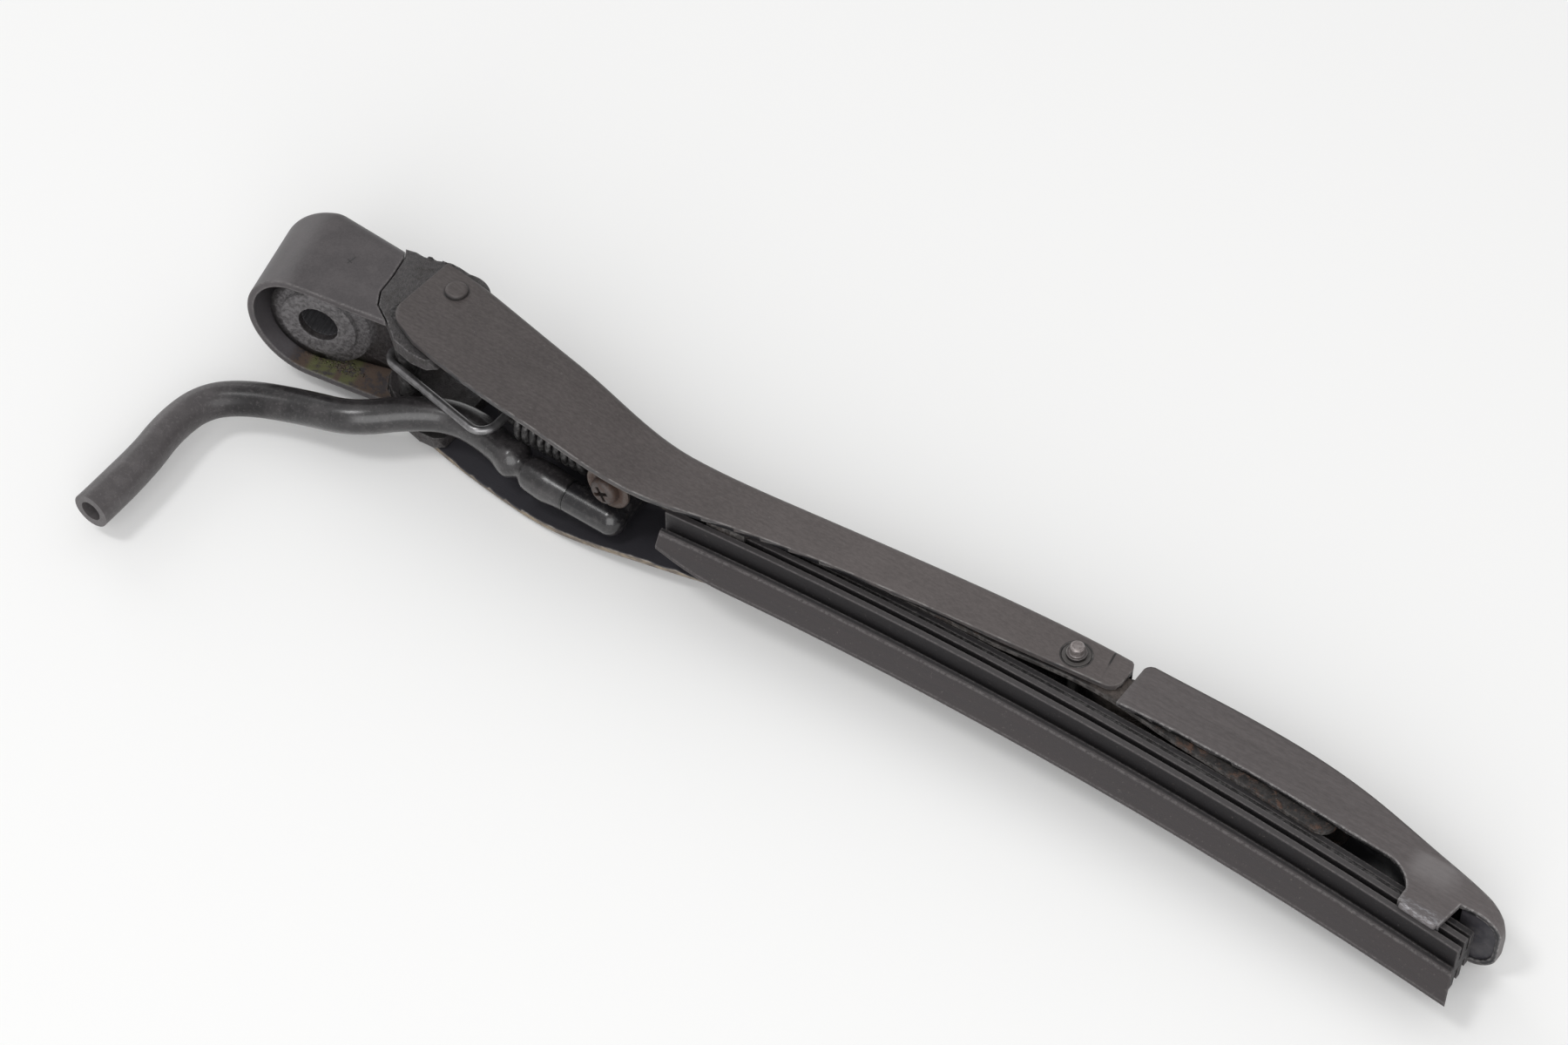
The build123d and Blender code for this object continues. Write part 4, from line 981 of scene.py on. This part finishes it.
# Rubber: charcoal with brown dust on the flank, pale fin edges and a pale line on the shoulder that is partly dust
# and partly painted highlight
rubberLook = {
    "rubber": (0.0185, 0.0168, 0.0180),
    "dusty": (0.036, 0.0292, 0.0298),
    "pale": (0.128, 0.1170, 0.1178),
    "speck": (0.18, 0.16, 0.145),
    "grit": (1.7, 5.0, 0.75),
    "streaks": ((0.04, 1.3, 1.0), 4.0, 0.6),
    "streaked": (0.35, 0.65),
    "gritty": (0.36, 0.6),
    "broken": (0.35, 0.6),
    "specked": (0.62, 0.69),
    "flank": (-12.0, -12.6),
    "flankDust": (0.55, 0.3, 0.15),  # base, streaks and grit
    "finSide": (4.35, 4.6),
    "finPale": (0.16, 0.2),  # base and streaks
    "edgeBand": (0.0005, 0.015, 0.10),
    "wear": (0.2, 0.8),  # base and grit
    "wornAmount": 0.85,
    "shoulder": -12.75,
    "shoulderWidth": (0.3, 0.08),
    "shoulderAmount": 0.6,
    "speckAmount": 0.4,
    "rough": (0.5, 0.18),  # base and streaks
    "height": (0.7, 0.3),  # of grit and streaks
    "relief": (0.3, 0.0003, 0.0002),
}
rubberShade = Shade("blade_rubber")
rubberAlong, rubberRaw = rubberShade.armAxes()
rubberHeight = rubberRaw - bowAt(rubberAlong)
rubberGrit = rubberShade.noise(*rubberLook["grit"])
rubberStreak = rubberShade.grain(rubberAlong, rubberHeight, *rubberLook["streaks"])
rubberDust = weigh(rubberLook["flankDust"], 1.0, rubberStreak.ramp(*rubberLook["streaked"]), rubberGrit)
rubberDust = rubberDust * rubberHeight.ramp(*rubberLook["flank"])
rubberColour = rubberShade.mix(rubberDust, rubberLook["rubber"], rubberLook["dusty"])
rubberFin = rubberShade.side.ramp(*rubberLook["finSide"]) * weigh(rubberLook["finPale"], 1.0, rubberStreak)
rubberColour = rubberShade.mix(rubberFin, rubberColour, rubberLook["pale"])
rubberWorn = weigh(rubberLook["wear"], 1.0, rubberGrit.ramp(*rubberLook["gritty"]))
rubberWorn = rubberWorn * rubberShade.edges(*rubberLook["edgeBand"]) * rubberLook["wornAmount"]
rubberColour = rubberShade.mix(rubberWorn, rubberColour, rubberLook["pale"])
# The pale shoulder line is partly dust and partly a painted highlight on the shoulder's edge
rubberShoulderHighlight = (rubberHeight - rubberLook["shoulder"]).line(*rubberLook["shoulderWidth"])
rubberShoulderHighlight = rubberShoulderHighlight * rubberGrit.ramp(*rubberLook["broken"]) * rubberLook["shoulderAmount"]
rubberColour = rubberShade.mix(rubberShoulderHighlight, rubberColour, rubberLook["pale"])
rubberSpeck = rubberGrit.ramp(*rubberLook["specked"]) * rubberLook["speckAmount"]
rubberColour = rubberShade.mix(rubberSpeck, rubberColour, rubberLook["speck"])
rubberBump = rubberShade.bump(weigh(rubberLook["height"], rubberGrit, rubberStreak), *rubberLook["relief"])
rubberRough = weigh(rubberLook["rough"], 1.0, rubberStreak)
dress(rubberShade.finish(rubberColour, rubberRough, normal=rubberBump), "rubber_element")
print("steel, plastic and rubber finished")

# Corners that the bare solids leave sharp: the casting beside the cap's seam, and where arm and tip shell meet
cornerLook = {
    "seam": ((0.0119, 0.01095, 0.0), (0.055, 1.0, 0.0), (0.0115, 0.03)),  # spot, direction, stretch of x
    "arm": (131.0, 4.4, 2.6, 1),  # place on the arm's axes, radius, and 1 where the corner looks along the arm
    "shell": (132.2, 4.82, 1.5, -1),
    "whole": (-1.0, 1.0),
    "turns": (22.5, 45.0, 67.5),
    "sharp": 0.5,
    "flatWeight": 80,
}


def copyOf(name):
    shape = bmesh.new()
    shape.from_mesh(nodes[name].data)
    bmesh.ops.remove_doubles(shape, verts=shape.verts, dist=mergeDistance)
    return shape


def facet(piece):
    # Shows every face flat
    piece.data.polygons.foreach_set("use_smooth", [False] * len(piece.data.polygons))


def standIn(name, piece, shape, body, faceted=False):
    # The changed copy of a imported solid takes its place, with its finish and its flat faces kept flat
    made = addPiece(piece, shape, body, nodes[name].data.materials[0])
    if faceted:
        facet(made)
    else:
        made.data.set_sharp_from_angle(angle=cornerLook["sharp"])
        flats = made.modifiers.new("flats", "WEIGHTED_NORMAL")
        flats.keep_sharp = True
        flats.weight = cornerLook["flatWeight"]
    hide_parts(name)


def planeOff(shape, cuts):
    # Planes corners off a copy; each cut is a spot, the direction that goes and the stretch of x it may touch
    for spot, away, reach in cuts:
        near = [face for face in shape.faces if all(reach[0] < vert.co.x < reach[1] for vert in face.verts)]
        edges = once(edge for face in near for edge in face.edges)
        verts = once(vert for face in near for vert in face.verts)
        cut = bmesh.ops.bisect_plane(
            shape, geom=near + edges + verts, dist=mergeDistance, plane_co=spot, plane_no=away, clear_outer=True
        )
        bmesh.ops.holes_fill(shape, edges=newEdges(cut["geom_cut"]), sides=0)
    return shape


def roundCorner(x, y, radius, side):
    # A few cuts that round a corner on the arm's axes
    cuts = []
    for degrees in cornerLook["turns"]:
        leanX, leanY = side * math.sin(math.radians(degrees)), math.cos(math.radians(degrees))
        spot = armPoint(x - side * radius + leanX * radius, y - radius + leanY * radius)
        cuts.append((spot, armAim * leanX + armUp * leanY, cornerLook["whole"]))
    return cuts


for name, piece, cuts, body, slot in (
    ("head_casting", "casting", [cornerLook["seam"]], "head", "head_metal"),
    ("arm_channel", "channel", roundCorner(*cornerLook["arm"]), "arm", "arm_paint"),
    ("blade_tip_shell", "tip_shell", roundCorner(*cornerLook["shell"]), "blade", "blade_paint"),
):
    standIn(name, piece, planeOff(copyOf(name), cuts), body)
print("corners eased")

# Rubber whose lip is drawn in towards its inner end, where it has lain folded
lipLook = {"root": -12.3, "start": 52.2, "reach": 16.0, "left": 0.36, "rings": 8}
lipShape = copyOf("rubber_element")
for ring in range(lipLook["rings"]):
    spot = armPoint(lipLook["start"] + lipLook["reach"] * (ring + 1) / lipLook["rings"], 0.0)
    whole = list(lipShape.verts) + list(lipShape.edges) + list(lipShape.faces)
    bmesh.ops.bisect_plane(lipShape, geom=whole, dist=mergeDistance, plane_co=spot, plane_no=armAim)
for vert in lipShape.verts:
    offset = (vert.co - armPoint(0.0, 0.0)) * perMetre
    along, height = offset.dot(armAim), offset.dot(armUp)
    drop = height - bowAt(along) - lipLook["root"]
    share = min(max((along - lipLook["start"]) / lipLook["reach"], 0.0), 1.0)
    if drop < 0.0:
        shrink = (1.0 - lipLook["left"]) * (1.0 - math.sin(share * math.pi / 2))
        vert.co -= armUp * drop * shrink / perMetre
standIn("rubber_element", "rubber", lipShape, "blade", faceted=True)
print("lip drawn in")

# Splined liner of the spindle bore: a toothed ring, drawn through the boss
linerLook = {
    "teeth": 22,
    "outer": 0.00359,
    "inner": 0.00338,
    "wall": 0.00002,
    "low": 0.0004,
    "depth": 0.0100,
    "dark": (0.05, 0.049, 0.052),
    "bright": (0.13, 0.128, 0.135),
    "cloud": (1.1, 4.0, 0.6),
    "rough": 0.42,
    "metal": 0.4,
    "relief": (0.3, 0.0003),
}
linerShape = bmesh.new()
linerPlace = Matrix.Translation((0.0, linerLook["low"], 0.0)) @ Matrix.Rotation(math.radians(90), 4, "X")
linerLoops = []
for radius in (linerLook["outer"], linerLook["outer"] - linerLook["wall"]):
    made = bmesh.ops.create_circle(linerShape, segments=4 * linerLook["teeth"], radius=radius, matrix=linerPlace)
    linerLoops.append(made["verts"])
for index, vert in enumerate(linerLoops[1]):
    if index % 4 in (1, 2):  # two of each four points are the top of a tooth
        share = linerLook["inner"] / linerLook["outer"]
        vert.co.x, vert.co.z = vert.co.x * share, vert.co.z * share
linerEdges = once(edge for loop in linerLoops for vert in loop for edge in vert.link_edges)
linerFlat = bmesh.ops.bridge_loops(linerShape, edges=linerEdges)["faces"]
linerDrawn = bmesh.ops.extrude_face_region(linerShape, geom=linerFlat)["geom"]
bmesh.ops.translate(linerShape, vec=(0.0, linerLook["depth"], 0.0), verts=newVerts(linerDrawn))
linerShade = Shade("liner")
linerCloud = linerShade.noise(*linerLook["cloud"])
linerFinish = linerShade.finish(
    linerShade.mix(linerCloud, linerLook["dark"], linerLook["bright"]), linerLook["rough"], linerLook["metal"],
    linerShade.bump(linerCloud, *linerLook["relief"]),
)
facet(addPiece("bore_liner", linerShape, "head", linerFinish))
print("bore lined")

# Crumbs of dirt: dented balls of mixed size, turned and pressed flat along one direction
crumbLook = {"dents": (0.75, 1.15), "turn": (0, 6.283), "press": (0.35, 0.6)}


def scatter(look, spotAt):
    chance = random.Random(look["seed"])
    flatten = Vector(look["flatten"])
    shape = bmesh.new()
    for number in range(look["count"]):
        verts = bmesh.ops.create_icosphere(shape, subdivisions=1, radius=1.0)["verts"]
        size = Matrix.Scale(chance.uniform(*look["size"]), 4)
        for vert in verts:
            vert.co *= chance.uniform(*crumbLook["dents"])
        spin = Matrix.Rotation(chance.uniform(*crumbLook["turn"]), 4, flatten.orthogonal())
        press = Matrix.Scale(chance.uniform(*crumbLook["press"]), 4, flatten)
        place = Matrix.Translation(spotAt(chance)) @ press @ spin @ size
        bmesh.ops.transform(shape, matrix=place, verts=verts)
    return shape


# Moss and grime on the inside of the cap's lower wall
mossLook = {
    "count": 170,
    "seed": 5,
    "size": (0.00016, 0.00038),
    "flatten": (0, 0, 1),
    "from": (-6.2, 1.6),
    "to": (6.6, -1.2),
    "stray": 0.6,
    "spread": 1.3,
    "wall": -9.45,
    "brown": (0.085, 0.064, 0.050),
    "green": (0.092, 0.100, 0.036),
    "cloud": (0.7, 4.0, 0.6),
    "pits": (3.0, 4.0, 0.55),
    "grown": (0.4, 0.6),
    "greenAlong": (-3.0, -1.5),
    "rough": 0.85,
    "relief": (0.6, 0.0004),
}


def mossSpot(chance):
    share = chance.random()
    x, y = (low + share * (high - low) for low, high in zip(mossLook["from"], mossLook["to"]))
    x += chance.gauss(0, mossLook["stray"])
    y += chance.uniform(-mossLook["spread"], mossLook["spread"])
    return Vector((x, y, mossLook["wall"])) / perMetre


mossShade = Shade("moss")
mossGrown = mossShade.noise(*mossLook["cloud"]).ramp(*mossLook["grown"]) * mossShade.x.ramp(*mossLook["greenAlong"])
mossFinish = mossShade.finish(
    mossShade.mix(mossGrown, mossLook["brown"], mossLook["green"]), mossLook["rough"],
    normal=mossShade.bump(mossShade.noise(*mossLook["pits"]), *mossLook["relief"]),
)
addPiece("cap_moss", scatter(mossLook, mossSpot), "cap", mossFinish)

# Crust along the casting's upper edge behind the cap
crustLook = {
    "count": 46,
    "seed": 11,
    "size": (0.0003, 0.00075),
    "flatten": (0, 1, 0),
    "lumps": [(16.6, 10.5), (17.0, 10.6), (19.4, 10.2), (20.6, 10.4), (21.8, 10.1)],
    "stray": 0.35,
    "rise": (-0.5, 0.05),
    "top": 10.3,
    "spread": 0.8,
}


def crustSpot(chance):
    x, y = chance.choice(crustLook["lumps"])
    x += chance.gauss(0, crustLook["stray"])
    y += chance.uniform(*crustLook["rise"])
    return Vector((x, y, crustLook["top"] - abs(chance.gauss(0, crustLook["spread"])))) / perMetre


addPiece("roof_crust", scatter(crustLook, crustSpot), "head", castFinish)
print("grime laid")


def roundEdges(shape, edges, offset, segments):
    bmesh.ops.bevel(
        shape, geom=edges, offset=offset, offset_type="OFFSET", segments=segments,
        profile=0.5, affect="EDGES", material=-1,
    )


# Rolled foot of the shell's claws, one bead along each side
beadLook = {
    "start": (184.9, -10.75),
    "end": (191.2, -11.25),
    "out": 5.25,
    "radius": 0.00078,
    "sides": 24,
    "round": (0.0004, 4),
}
for side, name in ((1, "claw_bead_upper"), (-1, "claw_bead_lower")):
    beadShape = bmesh.new()
    first, last = (armPoint(*beadLook[end], side * beadLook["out"]) for end in ("start", "end"))
    aim = (last - first).to_track_quat("Z", "Y").to_matrix().to_4x4()
    bmesh.ops.create_cone(
        beadShape, cap_ends=True, segments=beadLook["sides"],
        radius1=beadLook["radius"], radius2=beadLook["radius"], depth=(last - first).length,
        matrix=Matrix.Translation((first + last) / 2) @ aim,
    )
    rims = [edge for edge in beadShape.edges if any(len(face.verts) > 4 for face in edge.link_faces)]
    roundEdges(beadShape, rims, *beadLook["round"])
    addPiece(name, beadShape, "blade", shellFinish)
print("claws rolled")

# Closed underside of the nose: a moulded plate with the nose's own round corners
noseLook = {
    "start": 192.5,
    "end": 199.05,
    "low": -5.85,
    "high": -5.35,
    "out": 5.3,
    "corner": (0.0040, 10),
    "soft": (0.00015, 3),
    "dark": (0.033, 0.0315, 0.038),
    "pale": (0.062, 0.058, 0.063),
    "cloud": (0.5, 4.0, 0.6),
    "uneven": (0.35, 0.7),
    "rough": (0.36, 0.2),  # base and cloud
    "relief": (0.2, 0.0003),
}
noseShape = bmesh.new()
bmesh.ops.create_cube(noseShape, size=1.0 / perMetre)
noseSpan = (noseLook["end"] - noseLook["start"], noseLook["high"] - noseLook["low"], 2 * noseLook["out"])
bmesh.ops.scale(noseShape, vec=noseSpan, verts=noseShape.verts)
ahead = [edge for edge in noseShape.edges if all(vert.co.x > 0 for vert in edge.verts)]
roundEdges(noseShape, [edge for edge in ahead if edge.verts[0].co.z == edge.verts[1].co.z], *noseLook["corner"])
below = [edge for edge in noseShape.edges if all(vert.co.y < 0 for vert in edge.verts)]
roundEdges(noseShape, below, *noseLook["soft"])
noseMiddle = armPoint((noseLook["start"] + noseLook["end"]) / 2, (noseLook["low"] + noseLook["high"]) / 2)
nosePlace = Matrix.Translation(noseMiddle) @ Matrix.Rotation(-axisLook["slope"], 4, "Z")
bmesh.ops.transform(noseShape, matrix=nosePlace, verts=noseShape.verts)
noseShade = Shade("nose_plate")
noseCloud = noseShade.noise(*noseLook["cloud"])
noseFinish = noseShade.finish(
    noseShade.mix(noseCloud.ramp(*noseLook["uneven"]), noseLook["dark"], noseLook["pale"]),
    weigh(noseLook["rough"], 1.0, noseCloud), normal=noseShade.bump(noseCloud, *noseLook["relief"]),
)
facet(addPiece("nose_plate", noseShape, "blade", noseFinish))
print("nose closed")

bpy.context.scene.view_settings.view_transform = "Standard"
